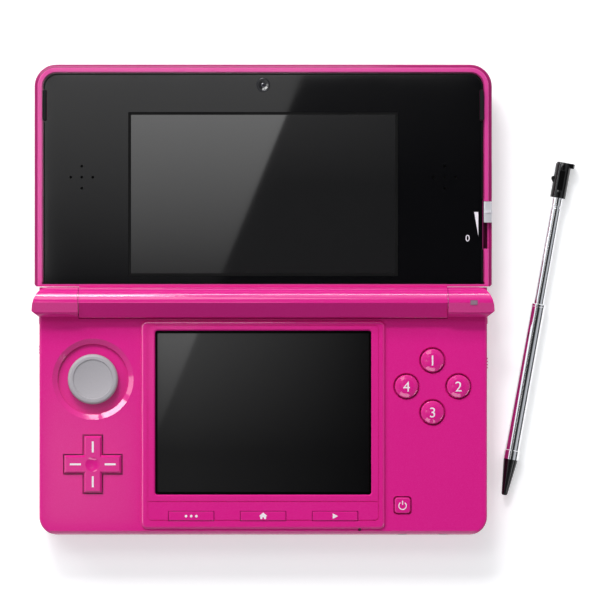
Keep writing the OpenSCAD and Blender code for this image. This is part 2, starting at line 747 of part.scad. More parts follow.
module pad_slider() {
  color("mediumvioletred") translate([-pad_x, pad_y, 0]) {
    translate([0, 0, skirt_z]) cylinder(r = skirt_r, h = skirt_t);
    translate([0, 0, skirt_z]) cylinder(r = stem_r, h = dish_floor + 0.9 - skirt_z);
    span([-tongue / 2, -tongue / 2, carriage_z + fit], [tongue / 2, tongue / 2, skirt_z + 0.1]);
  }
}

// The thumb pad: a round rim with a shallow dish, hollow below to take the stem
module circle_pad() {
  base = dish_floor + 0.2;
  stem_top = dish_floor + 0.9 + fit;
  top = deck_z + 1.05;
  hollow_r = pad_r - 1.7;
  hollow_z = top - 0.25;
  color("darkgray") translate([-pad_x, pad_y, 0]) rotate_extrude($fn = 96) polygon(concat(
    [[0, stem_top], [stem_r + fit, stem_top], [stem_r + fit, base], [pad_r - 0.7, base]],
    arc(pad_r - 0.7, base + 0.7, 0.7, -60, 0, 3),
    arc(pad_r - 0.9, top - 0.9, 0.9, 0, 90, 5),
    [[pad_r - 1.5, top], [hollow_r, hollow_z]],
    [for (i = [1:5]) let (x = 1 - i / 5) [hollow_r * x, hollow_z - 0.5 * (1 - x * x)]]
  ));
}

module dpad_outline(profile_top) {
  // one arm: the long section cut by the short one, so the four top edges are bevelled
  bevel = 0.6;
  s = dpad_span / 2;
  a = dpad_arm / 2;
  low = disc_z + 0.2;
  for (turn = [0, 90]) rotate(turn) intersection() {
    y_run(-s, s) polygon([
      [-a, low], [a, low], [a, profile_top - bevel], [a - bevel, profile_top], [bevel - a, profile_top],
      [-a, profile_top - bevel]
    ]);
    x_run(-a, a) polygon([
      [-s, low], [s, low], [s, profile_top - bevel], [s - bevel, profile_top], [bevel - s, profile_top],
      [-s, profile_top - bevel]
    ]);
  }
}

module dpad() {
  color("mediumvioletred") translate([dpad_x, dpad_y, 0]) difference() {
    union() {
      dpad_outline(dpad_top);
      translate([0, 0, disc_z]) cylinder(r = disc_r, h = 0.6);
      translate([0, 0, pivot_z + 0.15]) cylinder(r = seat_r, h = disc_z - pivot_z);
    }
    // shallow thumb hollow in the middle
    translate([0, 0, dpad_top + 7.7]) sphere(r = 8);
    // groove that sits on the shaft along Y, and room for the ends of the other one
    translate([0, 0, pivot_z]) rotate([90, 0, 0]) translate([0, 0, -9]) cylinder(r = shaft_r + fit, h = 18);
    translate([-shaft_half - 0.3, -shaft_r - 0.3, pivot_z - 1])
      cube([2 * shaft_half + 0.6, 2 * shaft_r + 0.6, 1 + shaft_r + 0.25]);
  }
}

// Small cross of two round shafts under the directional pad. The lower half of the cross lies in a saddle
// and tips front to back on the shaft along X, and the pad tips left to right on the shaft along Y.
module dpad_pivot() {
  color("gainsboro") translate([dpad_x, dpad_y, pivot_z]) union() {
    rotate([0, 90, 0]) translate([0, 0, -shaft_half]) cylinder(r = shaft_r, h = 2 * shaft_half);
    rotate([90, 0, 0]) translate([0, 0, -shaft_half]) cylinder(r = shaft_r, h = 2 * shaft_half);
  }
}

module membrane_dome(h) {
  cylinder(r1 = 2.2, r2 = 1.5, h = h);
}

module dpad_membrane() {
  color("lightgray") translate([dpad_x, dpad_y, board_top]) difference() {
    union() {
      linear_extrude(height = 0.25) round_rect(20, 20, 3);
      for (a = [0:90:270]) rotate(a) translate([dpad_span / 2 - 2, 0, 0.2]) membrane_dome(0.25);
    }
    translate([0, 0, -1]) cylinder(r = 1.9, h = 9);
  }
}

// One round button: a domed cap over a retaining flange
module round_button(a) {
  edge = 0.55;
  flange_z = deck_under - fit - flange_t;
  flange_r = face_r + 0.8;
  crown = 0.3;
  shoulder = face_top - crown;
  color("mediumvioletred") translate([face_x + face_step * cos(a), face_y + face_step * sin(a), 0])
    rotate_extrude() polygon(concat(
      [[0, flange_z], [flange_r, flange_z], [flange_r, flange_z + flange_t], [face_r, flange_z + flange_t]],
      arc(face_r - edge, shoulder - edge, edge, 0, 70, 4),
      [for (i = [1:4]) let (x = (face_r - edge) * (1 - i / 4))
        [x, shoulder + crown * (1 - pow(x / face_r, 2))]]
    ));
}

module button_right() { round_button(0); }
module button_top() { round_button(90); }
module button_left() { round_button(180); }
module button_bottom() { round_button(270); }

module button_membrane() {
  color("lightgray") translate([face_x, face_y, board_top]) {
    for (a = [0, 90]) rotate(a) translate([0, 0, 0.15]) cube([2 * face_step + 6, 7, 0.3], center = true);
    for (a = [0:90:270]) rotate(a) translate([face_step, 0, 0.2])
      membrane_dome(deck_under - fit - flange_t - face_travel - board_top - 0.25);
  }
}

module power_button() {
  flange_z = deck_under - fit - flange_t;
  top = deck_z + 0.5;
  color("mediumvioletred") translate([power_x, power_y, 0]) {
    translate([0, 0, flange_z]) linear_extrude(height = flange_t) round_rect(power_w + 1.6, power_w + 1.6, 1);
    pillow(power_w, power_w, 0.9, concat([[0, flange_z]], rounded_top(0.45, 0.35, top, 18)));
  }
}

module flat_key(i) {
  top = panel_z + 0.1;
  color("mediumvioletred") translate([i * key_step, key_y, 0]) {
    translate([0, 0, panel_under - fit - 0.5]) linear_extrude(height = 0.5)
      round_rect(key_w + 1.2, key_d + 1.2, 0.3);
    pillow(key_w, key_d, 0.3, concat([[0, panel_under - fit - 0.5]], rounded_top(0.25, 0.2, top, 30)));
  }
}

module select_key() { flat_key(-1); }
module home_key() { flat_key(0); }
module start_key() { flat_key(1); }

module key_membrane() {
  low = board_top;
  h = panel_under - fit - 0.5 - 0.45 - low;
  color("lightgray") union() {
    span([-key_step - 7, key_y - 1.6, low], [key_step + 7, key_y + 1.6, low + 0.8]);
    for (i = [-1:1]) translate([i * key_step, key_y, low + 0.7]) cylinder(r1 = 1.5, r2 = 1.1, h = h - 0.7);
    span([key_step + 6.9, key_y - 1.6, low], [power_x, key_y + 1.6, low + 0.3]);
    translate([power_x, power_y, low]) cylinder(r = 2.6, h = 0.3);
    span([power_x - 1, key_y, low], [power_x + 1, power_y, low + 0.3]);
    translate([power_x, power_y, low + 0.2])
      cylinder(r1 = 1.5, r2 = 1.1, h = deck_under - fit - flange_t - 0.55 - low - 0.2);
  }
}

// Shoulder button: wraps the rear corner and turns on an upright pin at its inner end
module shoulder_button() {
  r = 4;
  out_x = half_w + 0.3;
  out_y = rear_y;
  t = shoulder_t;
  z0 = shoulder_z;
  h = shoulder_top - z0;
  translate([0, 0, z0]) difference() {
    union() {
      linear_extrude(height = h) polygon(concat(
        [[shoulder_in, out_y]],
        [for (p = arc(out_x - r, out_y - r, r, 90, 0, 6)) p],
        [[out_x, shoulder_front + 0.4], [out_x - 0.4, shoulder_front]],
        [[out_x - t, shoulder_front]],
        [for (p = arc(out_x - r, out_y - r, r - t, 0, 90, 5)) p],
        [[shoulder_in, out_y - t]]
      ));
      // web to the pin boss
      translate([shoulder_pin_x, shoulder_pin_y, 0]) cylinder(r = 1.7, h = h);
      span([shoulder_pin_x - 1.7, shoulder_pin_y, 0], [shoulder_pin_x + 1.7, out_y - t + 0.1, h]);
      // finger that meets the switch
      span([57, out_y - t - 1.6, 1], [58.5, out_y - t + 0.1, h - 1]);
    }
    translate([shoulder_pin_x, shoulder_pin_y, -1]) cylinder(r = shoulder_pin_r + fit, h = h + 2);
  }
}

module right_shoulder() {
  color("mediumvioletred") shoulder_button();
}

module left_shoulder() {
  color("mediumvioletred") mirror([1, 0, 0]) shoulder_button();
}

// A side slider: ribbed grip outside, neck through the slot, foot inside the wall
module side_slider(y, len, ribs) {
  out = half_w - lower_inset + fit;
  slot = 0.6 - fit;
  span([out, y - len / 2, side_z - 0.9], [out + 0.5, y + len / 2, side_z + 0.9]);
  for (i = [0:ribs - 1]) translate([out + 0.45, y + (i - (ribs - 1) / 2) * 0.9 - 0.2, side_z - 0.9])
    cube([0.35, 0.4, 1.8]);
  span([inner_half - fit - 0.1, y - 1.4, side_z - slot], [out + 0.1, y + 1.4, side_z + slot]);
  span([inner_half - fit - 0.7, y - 2, side_z - 1], [inner_half - fit, y + 2, side_z + 1]);
}

module volume_slider() {
  color("mediumvioletred") mirror([1, 0, 0]) side_slider(volume_y, 4.4, 3);
}

module wireless_switch() {
  color("mediumvioletred") side_slider(wireless_y, 4.6, 4);
}

module card_cover() {
  out = half_w - lower_inset;
  edge_r = flap_t / 2;
  edge_z = sd_z - flap_h / 2 + edge_r;
  color("mediumvioletred") union() {
    span([-out, sd_y - flap_w / 2, edge_z], [-out + flap_t / 2, sd_y + flap_w / 2, sd_z + flap_h / 2]);
    // inner layer, lower at the top so that the cover can tip out
    span([-out, sd_y - flap_w / 2, edge_z], [-out + flap_t, sd_y + flap_w / 2, sd_z + flap_h / 2 - 0.2]);
    // round lower edge that it turns on
    translate([-out + edge_r, sd_y + flap_w / 2, edge_z]) rotate([90, 0, 0]) cylinder(r = edge_r, h = flap_w);
    // finger lip
    span([-out - 0.2, sd_y - flap_w / 2 + 2, sd_z + flap_h / 2 - 0.7],
         [-out + 0.1, sd_y - flap_w / 2 + 8, sd_z + flap_h / 2]);
  }
}

module memory_socket() {
  z0 = sd_z - sd_h / 2 - 0.3;
  z1 = floor_z - fit;
  color("silver") difference() {
    span([-inner_half + fit, sd_y - 14, z0], [-37, sd_y + 14, z1]);
    span([-inner_half - 1, sd_y - sd_w / 2, sd_z - sd_h / 2], [-38, sd_y + sd_w / 2, sd_z + sd_h / 2]);
    span([-55, sd_y - 8, z0 - 1], [-44, sd_y + 8, sd_z]);
  }
}

module game_card_cage() {
  w = slot_w / 2 + cage_t;
  color("silver") difference() {
    span([-w, 5.2, slot_z - slot_h / 2 - cage_t], [w, strip_y - fit, slot_z + slot_h / 2 + cage_t]);
    span([-slot_w / 2, 7, slot_z - slot_h / 2], [slot_w / 2, rear_y, slot_z + slot_h / 2]);
    // stamped windows in the roof
    for (sx = [-1, 1]) span([sx * 8 - 4, 12, slot_z], [sx * 8 + 4, 24, slot_z + slot_h]);
  }
}

module charge_port() {
  color("silver") difference() {
    span([port_x - 4 + fit, rear_y - 7, 3 + fit], [port_x + 4 - fit, rear_y - 0.4, 6.2 - fit]);
    difference() {
      span([port_x - 3.5, rear_y - 6.4, 3.5], [port_x + 3.5, rear_y, 5.7]);
      span([port_x - 2.6, rear_y - 9, 4.3], [port_x + 2.6, rear_y - 1, 4.9]);
    }
  }
}

module audio_jack() {
  color("black") translate([0, front_y + lower_inset, jack_z]) rotate([-90, 0, 0]) difference() {
    union() {
      cylinder(r = 2.5, h = 3);
      translate([-3, -1.9, wall + fit]) cube([6, 4, jack_len - wall - fit]);
    }
    translate([0, 0, -1]) cylinder(r = 1.8, h = jack_len);
  }
}

module stylus_sleeve() {
  color("dimgray") translate([sleeve_x, sleeve_back, sleeve_z]) rotate([90, 0, 0])
    tube(sleeve_r + sleeve_wall, sleeve_r, sleeve_len);
}

module ir_window() {
  color("black") span([ir_x - 3, rear_y - 1.15, 3.2], [ir_x + 3, rear_y, 6.2]);
}

module status_leds() {
  color("white") {
    for (x = led_x)
      span([x - led_w / 2, front_y + 0.05, led_z], [x + led_w / 2, front_y + 2.6, led_z + led_h]);
    translate([0, radio_led_y, side_z])
      span([inner_half - 0.4, -radio_led_w / 2, -led_h / 2],
           [half_w - lower_inset, radio_led_w / 2, led_h / 2]);
  }
}

module notice_led() {
  color("gray") translate([notice_x, axis_y, axis_z + barrel_r])
    span([-notice_w / 2, -notice_d / 2, -1.15], [notice_w / 2, notice_d / 2, -0.06]);
}

module microphone() {
  color("silver") translate([mic_x, mic_y + 1.9, mic_z]) cylinder(r = 2, h = mic_top - mic_z - fit);
}

module case_screws() {
  color("silver") for (p = case_screws_at) translate([p[0], p[1], 0]) difference() {
    union() {
      translate([0, 0, 4]) cylinder(r = 1.6, h = 1);
      translate([0, 0, 4]) cylinder(r = screw_r, h = 6.2);
    }
    for (a = [0, 90]) rotate(a) translate([0, 0, 4]) cube([1.8, 0.4, 0.8], center = true);
  }
}

module cover_screws() {
  color("silver") for (p = cover_screws_at) translate([p[0], p[1], 0]) difference() {
    union() {
      translate([0, 0, 0.3]) cylinder(r = 1.9, h = 1);
      translate([0, 0, 0.3]) cylinder(r = screw_r, h = 5.3);
    }
    for (a = [0, 90]) rotate(a) translate([0, 0, 0.3]) cube([2.2, 0.45, 0.8], center = true);
  }
}

// ---------------------------------------------------------------- hinge

module hinge_shaft() {
  color("silver") translate([knuckle_in - pin_in, axis_y, axis_z]) rotate([0, 90, 0]) union() {
    cylinder(r = pin_r, h = pin_in + pin_seat - seam);
    cylinder(r = pin_head_r, h = 1.2);
  }
}

module hinge_cartridge() {
  head_at = cartridge_len - pin_in + knuckle_in - barrel_half;   // where the shaft's head lies in it
  color("silver") translate([barrel_half - cartridge_len, axis_y, axis_z]) rotate([0, 90, 0]) difference() {
    cylinder(r = cartridge_r, h = cartridge_len - seam);
    translate([0, 0, head_at + 1.2]) cylinder(r = pin_r + fit, h = 10);
    translate([0, 0, head_at - 0.75]) cylinder(r = pin_head_r + fit, h = 2.1);
  }
}

module hinge_bush() {
  color("gainsboro") translate([-knuckle_in - pin_seat + seam, axis_y, axis_z]) rotate([0, 90, 0])
    tube(bush_r, 2.3, pin_seat + bush_in - seam);
}

module flex_cable() {
  color("saddlebrown") translate([-barrel_half + 0.5, axis_y, axis_z]) rotate([0, 90, 0]) difference() {
    cylinder(r = flex_r, h = flex_len);
    translate([0, 0, -1]) cylinder(r = flex_r - 0.4, h = flex_len + 2);
    translate([0, -0.2, -1]) cube([flex_r + 1, 0.4, flex_len + 2]);
  }
}

// ---------------------------------------------------------------- lid

lid_profile = concat(
  [for (p = arc(2.6, 2.6, 2.6, 270, 180, 6)) [p[0], lid_back + p[1]]],
  [[0, lid_top - 1.2]],
  [for (p = arc(0.8, 0, 0.8, 180, 90, 4)) [p[0], lid_top - 1.2 + p[1]]]
);

module lid_cover() {
  rabbet = roll;
  cover_top = lid_top - 0.4;
  color("mediumvioletred") difference() {
    union() {
      difference() {
        housing(lid_half, lid_near, lid_far, lid_r, lid_profile);
        hollow(lid_half - lid_wall, lid_near + lid_wall, lid_far - lid_wall, lid_r - lid_wall,
          lid_floor, seat_z);
        hollow(lid_half - rabbet, lid_near + lid_wall, lid_far - rabbet, lid_r - rabbet,
          seat_z, cover_top + 1);
        // the near wall is thinner where the glossy panel reaches over it
        hollow(lid_half - rabbet, panel_near - panel_gap / 2, lid_far - rabbet, lid_r - rabbet,
          seat_z + plate_t, cover_top + 1);
      }
      // posts for the lid screws
      for (p = lid_posts()) translate([p[0], p[1], lid_floor - 0.1])
        cylinder(r = 2.3, h = seat_z - lid_floor + 0.1);
      // seats for the two speakers
      for (side = [-1, 1]) translate([side * speaker_x(), speaker_y(), lid_floor - 0.1])
        linear_extrude(height = 1) difference() {
          round_rect(speaker_w + 2.2, speaker_d + 2.2, 2);
          round_rect(speaker_w + 0.2, speaker_d + 0.2, 2);
        }
    }
    // the neck of the hinge passes over the near wall
    span([-barrel_half, lid_near - 1, neck_z - fit], [barrel_half, lid_near + lid_wall + 1, lid_top + 1]);
    // near corners slightly eased
    for (side = [-1, 1]) translate([side * lid_half, lid_near, 0]) rotate([0, 0, 45])
      cube([0.9, 0.9, 60], center = true);
    for (p = lid_posts()) translate([p[0], p[1], lid_floor + 0.6]) cylinder(r = screw_r + fit, h = 9);
    // windows of the two outer cameras
    for (side = [-1, 1]) translate([side * outer_camera_x, camera_y(), lid_back - 1]) {
      cylinder(r = 2.9, h = 9);
      cylinder(r = 3.4, h = 1.35);
    }
    slider_channel();
  }
}

function lid_posts() = [
  [8 - lid_half, lid_near + 4], [lid_half - 8, lid_near + 4],
  [9.5 - lid_half, lid_far - 6.5], [lid_half - 9.5, lid_far - 6.5]
];
function camera_y() = lid_far - camera_depth;
function speaker_x() = lid_half - 13.8;
function speaker_y() = (panel_near + lid_far - panel_inset) / 2 + 0.35;

// Slot along the right edge for the depth slider, with the outer wall lowered beside it
module slider_channel() {
  y0 = slider_y - slider_len / 2 - slider_travel - 0.1;
  y1 = slider_y + slider_len / 2 + 0.1;
  span([slider_in - 0.15, y0, slider_slot_z], [lid_half - 1.25, y1, lid_top + 1]);
  span([lid_half - 1.3, y0, lid_top - 1.8], [lid_half + 1, y1, lid_top + 1]);
}

// The barrel is round, with a long flat facet towards the player
module barrel_section() {
  difference() {
    circle(r = barrel_r, $fn = 96);
    // outline in Y and Z: the facet's chord runs from nearly the top down to the front
    rotate(125) translate([barrel_r * cos(33.5), -20]) square([20, 40]);
  }
}

module lid_frame() {
  w = upper_w + 2 * window_border;
  h = display_h + 2 * window_border;
  color("hotpink") difference() {
    union() {
      // rim band round the glossy panel, bevelled towards it
      difference() {
        housing(lid_half - roll - fit, lid_near, lid_far - roll - fit, lid_r - roll - fit,
          [[0, seat_z + fit], [0, lid_top - 0.2], [0.2, lid_top]]);
        hollow(lid_half - rim_w, panel_near - panel_gap / 2, lid_far - rim_w, lid_r - rim_w,
          seat_z + plate_t, lid_top + 1);
      }
      // neck between the lid and its hinge barrel
      span([-barrel_half, axis_y, neck_z], [barrel_half, lid_near + lid_wall + 0.9, lid_top]);
      x_run(-barrel_half, barrel_half) translate([axis_y, axis_z]) barrel_section();
    }
    // near wall stands aside for the cover outside the neck
    for (side = [-1, 1]) mirror([side < 0 ? 1 : 0, 0, 0])
      span([barrel_half, lid_near - 1, 0], [lid_half, lid_near + lid_wall + fit, lid_top - 0.4]);
    // round the panel: the band is cut back where the neck meets it
    span([-lid_half + rim_w + 1, panel_near - panel_gap / 2, seat_z + plate_t],
         [lid_half - rim_w - 1, panel_near + 2, lid_top + 1]);
    // display window, sound holes and camera hole
    translate([0, upper_y, seat_z - 1]) linear_extrude(height = 9) round_rect(w + 2, h + 2, 1);
    for (side = [-1, 1]) translate([side * speaker_x(), speaker_y(), seat_z - 1]) cylinder(r = 4.6, h = 9);
    translate([0, camera_y(), seat_z - 1]) cylinder(r = 2.3, h = 9);
    // screw holes and head recesses
    for (p = lid_posts()) translate([p[0], p[1], seat_z - 1]) {
      cylinder(r = screw_r + 0.1, h = 9);
      translate([0, 0, 1.4]) cylinder(r = 1.8, h = 9);
    }
    // bores of the barrel: cartridge on the right, bush and cable on the left
    translate([barrel_half - cartridge_len - seam, axis_y, axis_z]) rotate([0, 90, 0])
      cylinder(r = cartridge_r + fit, h = 20);
    translate([-barrel_half - 1, axis_y, axis_z]) rotate([0, 90, 0])
      cylinder(r = bush_r + fit, h = flex_len + 3);
    bumper_shape(0.1, seat_z + plate_t);
    slider_channel();
  }
}

module bumper_shape(extra, z0) {
  for (side = [-1, 1]) translate([side * bumper_x, bumper_y, z0])
    linear_extrude(height = 2.1)
      round_rect(bumper_w + 2 * extra, bumper_len + 2 * extra, bumper_r + extra);
}

module lid_panel() {
  w = upper_w + 2 * window_border;
  h = display_h + 2 * window_border;
  color("black") difference() {
    intersection() {
      hollow(lid_half - panel_inset, panel_near, lid_far - panel_inset, lid_r - panel_inset,
        lid_panel_z, lid_panel_z + panel_t);
      translate([0, 0, lid_panel_z - 1]) linear_extrude(height = 9) translate([0, lid_far - 50])
        round_rect(lid_w, 2 * (50 - panel_inset), 3.8);
    }
    translate([0, upper_y, 0]) linear_extrude(height = 99) round_rect(w, h, 0.3);
    // five sound holes a side, in a cross
    for (side = [-1, 1], q = [[0, 0], [1, 0], [-1, 0], [0, 1], [0, -1]])
      translate([side * speaker_x() + sound_step * q[0], speaker_y() + sound_step * q[1], 0])
        cylinder(r = 0.4, h = 99, $fn = 24);
    translate([0, camera_y(), 0]) cylinder(r = 2.1, h = 99);
    bumper_shape(0.1, lid_panel_z - 1);
    span([slider_in - 0.4, slider_y - slider_len / 2 - slider_travel - 0.3, 0],
         [99, slider_y + slider_len / 2 + 0.3, 99]);
  }
}

module upper_display() {
  w = upper_w + 2 * window_border;
  h = display_h + 2 * window_border;
  top = lid_panel_z + panel_t - 0.1;
  color("darkslategray") union() {
    translate([0, upper_y, top - 0.9]) linear_extrude(height = 0.9) round_rect(w - 0.1, h - 0.1, 0.25);
    translate([0, upper_y, lid_floor + 2]) linear_extrude(height = top - 0.8 - lid_floor - 2)
      round_rect(w + 1.6, h + 1.6, 1);
    // two pads that it rests on
    for (sx = [-1, 1])
      span([sx * 20 - 8, upper_y - 5, lid_floor + fit], [sx * 20 + 8, upper_y + 5, lid_floor + 2.1]);
  }
}

module speakers() {
  color("dimgray") for (side = [-1, 1]) translate([side * speaker_x(), speaker_y(), 0]) {
    translate([0, 0, lid_floor + fit]) linear_extrude(height = 3) round_rect(speaker_w, speaker_d, 1.9);
    translate([0, 0, lid_floor + 2]) cylinder(r = cone_r, h = seat_z - lid_floor - 2);
  }
}

module camera_board() {
  color("darkgreen") difference() {
    translate([0, camera_y(), seat_z - 2.6])
      span([-outer_camera_x - 5.5, -2.6, 0], [outer_camera_x + 5.5, 2.6, 0.6]);
    for (side = [-1, 1]) translate([side * (outer_camera_x + 4.2), camera_y(), 0]) cylinder(r = 0.8, h = 99);
  }
}

module inner_camera() {
  color("black") translate([0, camera_y(), 0]) difference() {
    union() {
      translate([-2.5, -2.5, seat_z - 2]) cube([5, 5, 1.9]);
      translate([0, 0, seat_z - 0.2]) cylinder(r = 2.05, h = lid_panel_z + panel_t - seat_z + 0.2);
    }
    translate([0, 0, lid_panel_z + panel_t - 0.45]) cylinder(r1 = 0.7, r2 = 1.55, h = 0.5);
  }
}

module outer_cameras() {
  color("black") for (side = [-1, 1]) translate([side * outer_camera_x, camera_y(), 0]) difference() {
    union() {
      translate([0, 0, lid_back + 0.3]) cylinder(r = 2.85, h = seat_z - 2.6 - lid_back - 0.3);
      translate([0, 0, lid_back + 0.05]) tube(3.35, 2.3, 0.3);
    }
    translate([0, 0, lid_back]) cylinder(r1 = 1.9, r2 = 1.2, h = 1);
  }
}

module lid_bumpers() {
  color("black") for (side = [-1, 1]) translate([side * bumper_x, bumper_y, seat_z + plate_t]) {
    linear_extrude(height = 1.75) round_rect(bumper_w, bumper_len, bumper_r);
    linear_extrude(height = 2) round_rect(bumper_w - 0.3, bumper_len - 0.3, bumper_r - 0.15);
  }
}

module lid_screws() {
  color("silver") for (p = lid_posts()) translate([p[0], p[1], 0]) difference() {
    union() {
      translate([0, 0, seat_z + 0.42]) cylinder(r = 1.6, h = 0.44);
      translate([0, 0, lid_floor + 1]) cylinder(r = screw_r, h = seat_z - lid_floor - 0.4);
    }
    for (a = [0, 90]) rotate(a) translate([0, 0, seat_z + 0.9]) cube([1.8, 0.4, 0.5], center = true);
  }
}

module depth_slider() {
  len = slider_len;
  ledge = lid_top - 1.8 + fit;
  top = lid_top - 0.05;
  color("silver") translate([0, slider_y, 0]) {
    // knob over the lowered wall, with a rounded outer edge
    y_run(-len / 2, len / 2) polygon(concat(
      [[slider_in, ledge], [lid_half - 0.05, ledge]],
      arc(lid_half - 0.65, top - 0.6, 0.6, 0, 90, 4),
      [[slider_in + 0.3, top], [slider_in, top - 0.3]]
    ));
    // pointer ridge across the middle
    y_run(-0.35, 0.35) polygon([
      [slider_in + 0.1, ledge], [lid_half + 0.15, ledge], [lid_half + 0.15, top - 0.3],
      [lid_half - 0.3, top + 0.2], [slider_in + 0.5, top + 0.2], [slider_in + 0.1, top - 0.1]
    ]);
    // tongue down into the slot
    span([slider_in + 0.05, -2, slider_slot_z + fit], [lid_half - 1.35, 2, ledge + 0.1]);
  }
}

// ---------------------------------------------------------------- stylus

// Places a stylus piece that was drawn along +Z with its tip at the origin
module on_table() {
  translate([stylus_x, stylus_y, ring_r]) rotate([0, 0, -stylus_turn]) rotate([90, 0, 0])
    rotate([0, 180, 0]) translate([0, 0, -stylus_len]) children();
}

module stylus_tip() {
  neck_r = tube_r - tube_wall - fit;
  neck_end = tip_len + 3.2;
  color("black") on_table() rotate_extrude() polygon(concat(
    [[0, 0]],
    arc(0.3, 0.6, 0.6, -60, -10, 3),
    [[2.1, tip_len], [neck_r, tip_len], [neck_r, neck_end], [0, neck_end]]
  ));
}

module stylus_tube() {
  inside = tube_r - tube_wall;
  end = tip_len + tube_len;
  color("silver") on_table() difference() {
    rotate_extrude($fn = 64) polygon([
      [inside, tip_len], [ring_r, tip_len], [ring_r, tip_len + 2.6], [tube_r, tip_len + 2.75],
      [tube_r, end - 0.9], [ring_r - 0.05, end - 0.8], [ring_r - 0.05, end - 0.15], [ring_r - 0.2, end],
      [inner_r + fit, end], [inner_r + fit, end - 0.6], [inside, end - 0.6]
    ]);
  }
}

module stylus_inner_tube() {
  start = tip_len + tube_len - overlap_len;
  end = tip_len + tube_len + inner_shown;
  inside = inner_r - tube_wall;
  collar_r = tube_r - tube_wall - fit;
  color("silver") on_table() rotate_extrude($fn = 64) polygon([
    [inside, start], [collar_r, start], [collar_r, start + 1.2], [inner_r, start + 1.4],
    [inner_r, end - 3.1], [inner_r - 0.2, end - 3], [inner_r - 0.2, end - 2.5], [inner_r, end - 2.4],
    [inner_r, end + 2.5], [inside, end + 2.5]
  ]);
}

// Black moulded cap: a rounded grip with a pad recess, a catch on one side and a hook on the other
module stylus_cap() {
  z0 = tip_len + tube_len + inner_shown + fit;
  r = ring_r - 0.1;
  color("black") on_table() translate([0, 0, z0]) difference() {
    union() {
      cylinder(r = r, h = cap_len - 0.5 - fit);
      cylinder(r = r - 0.25, h = cap_len - fit);
      // hook that a fingertip pulls
      intersection() {
        translate([-0.4, 0, 0]) cylinder(r = r + 0.65, h = cap_len - fit);
        span([-4, -1.7, cap_len - 1.4], [0, 1.7, cap_len - fit]);
      }
      // catch that clicks into the sleeve
      y_run(-0.8, 0.8) polygon([[r - 0.4, 3.8], [r + 0.6, 5.2], [r + 0.6, 5.9], [r - 0.4, 6.4]]);
    }
    translate([0, 0, -1]) cylinder(r = inner_r + fit, h = 3.6);
    // long grip recess on top
    translate([0, r + 0.1, 2.2]) linear_extrude(height = cap_len - 4.7) square([1.6, 0.9], center = true);
  }
}

// ---------------------------------------------------------------- nodes

top_case();
lower_case();
battery_cover();
battery();
main_board();
touch_panel();
lower_display();
circle_pad();
pad_slider();
pad_carriage();
pad_tray();
dpad();
dpad_pivot();
dpad_membrane();
button_top();
button_left();
button_right();
button_bottom();
button_membrane();
power_button();
select_key();
home_key();
start_key();
key_membrane();
left_shoulder();
right_shoulder();
volume_slider();
wireless_switch();
card_cover();
memory_socket();
game_card_cage();
charge_port();
audio_jack();
stylus_sleeve();
ir_window();
status_leds();
notice_led();
microphone();
case_screws();
cover_screws();
hinge_shaft();
hinge_bush();
lid_cover();
lid_frame();
lid_panel();
upper_display();
speakers();
camera_board();
inner_camera();
outer_cameras();
lid_bumpers();
lid_screws();
hinge_cartridge();
flex_cable();
depth_slider();
stylus_tip();
stylus_tube();
stylus_inner_tube();
stylus_cap();
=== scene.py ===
# %% [markdown]
# # A two-screen clamshell console and its stylus
# The solids of this console come ready from the CAD frame: shells, buttons, sliders, hinge and stylus
# are all there at their true size. This notebook gives them their finishes, adds the printed marks,
# lenses and picture areas that the solids leave out, and lights and frames the whole thing the way a
# catalogue photographer would: from straight above, with the lid folded flat.
#
# Blender works in metres. Sizes on the object are written in millimetres here, and MM turns them into
# metres. The floor, the camera, the lamps and the cards are far bigger, so theirs are in metres.

import math

import bmesh
import bpy
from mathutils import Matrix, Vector
from mathutils.bvhtree import BVHTree


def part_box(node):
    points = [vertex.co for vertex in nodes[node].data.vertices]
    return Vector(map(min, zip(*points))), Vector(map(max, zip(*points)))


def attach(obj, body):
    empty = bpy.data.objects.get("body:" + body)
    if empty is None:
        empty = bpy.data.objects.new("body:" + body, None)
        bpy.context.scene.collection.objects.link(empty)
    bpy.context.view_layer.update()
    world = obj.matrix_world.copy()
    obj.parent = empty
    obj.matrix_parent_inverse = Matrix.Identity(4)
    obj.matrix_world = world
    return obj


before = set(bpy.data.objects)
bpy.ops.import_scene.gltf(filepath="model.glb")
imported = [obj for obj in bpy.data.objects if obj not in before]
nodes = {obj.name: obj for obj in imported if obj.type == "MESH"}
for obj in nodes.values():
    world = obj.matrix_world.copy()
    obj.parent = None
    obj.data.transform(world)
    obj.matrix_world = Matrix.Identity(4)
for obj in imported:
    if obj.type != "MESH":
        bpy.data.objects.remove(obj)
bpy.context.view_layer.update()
MM = 0.001
print("nodes in the frame:", len(nodes))

# %% [markdown]
# ## Where things are
# A piece that is printed on a CAD node or set into it isn't placed by eye. Each node knows its own
# box, so the middle of a button or the top of a display is measured, and the piece goes there.

# %% Measure the pieces that carry something


def middle(node):
    low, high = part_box(node)
    return (low + high) / 2


def top_of(node):
    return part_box(node)[1].z


def box_mm(node):
    low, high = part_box(node)
    return low / MM, high / MM


HINGE_Y = middle("hinge_shaft").y
print("hinge axis at y =", round(HINGE_Y / MM, 2), "mm")

# %% [markdown]
# ## Shared effects
# Several finishes need the same small effects, so each effect is one node group with named inputs.
# A group only gives out colours and values that change over the surface. The shader itself stays in
# the material, where its plain numbers can be read by whoever opens the file or exports it.

# %% A helper that makes a node group


def effect_group(name, inputs, outputs):
    group = bpy.data.node_groups.new(name, "ShaderNodeTree")
    for label, kind, value in inputs:
        socket = group.interface.new_socket(name=label, in_out="INPUT", socket_type=kind)
        if value is not None:
            socket.default_value = value
    for label, kind in outputs:
        group.interface.new_socket(name=label, in_out="OUTPUT", socket_type=kind)
    start = group.nodes.new("NodeGroupInput")
    end = group.nodes.new("NodeGroupOutput")
    return group, start, end


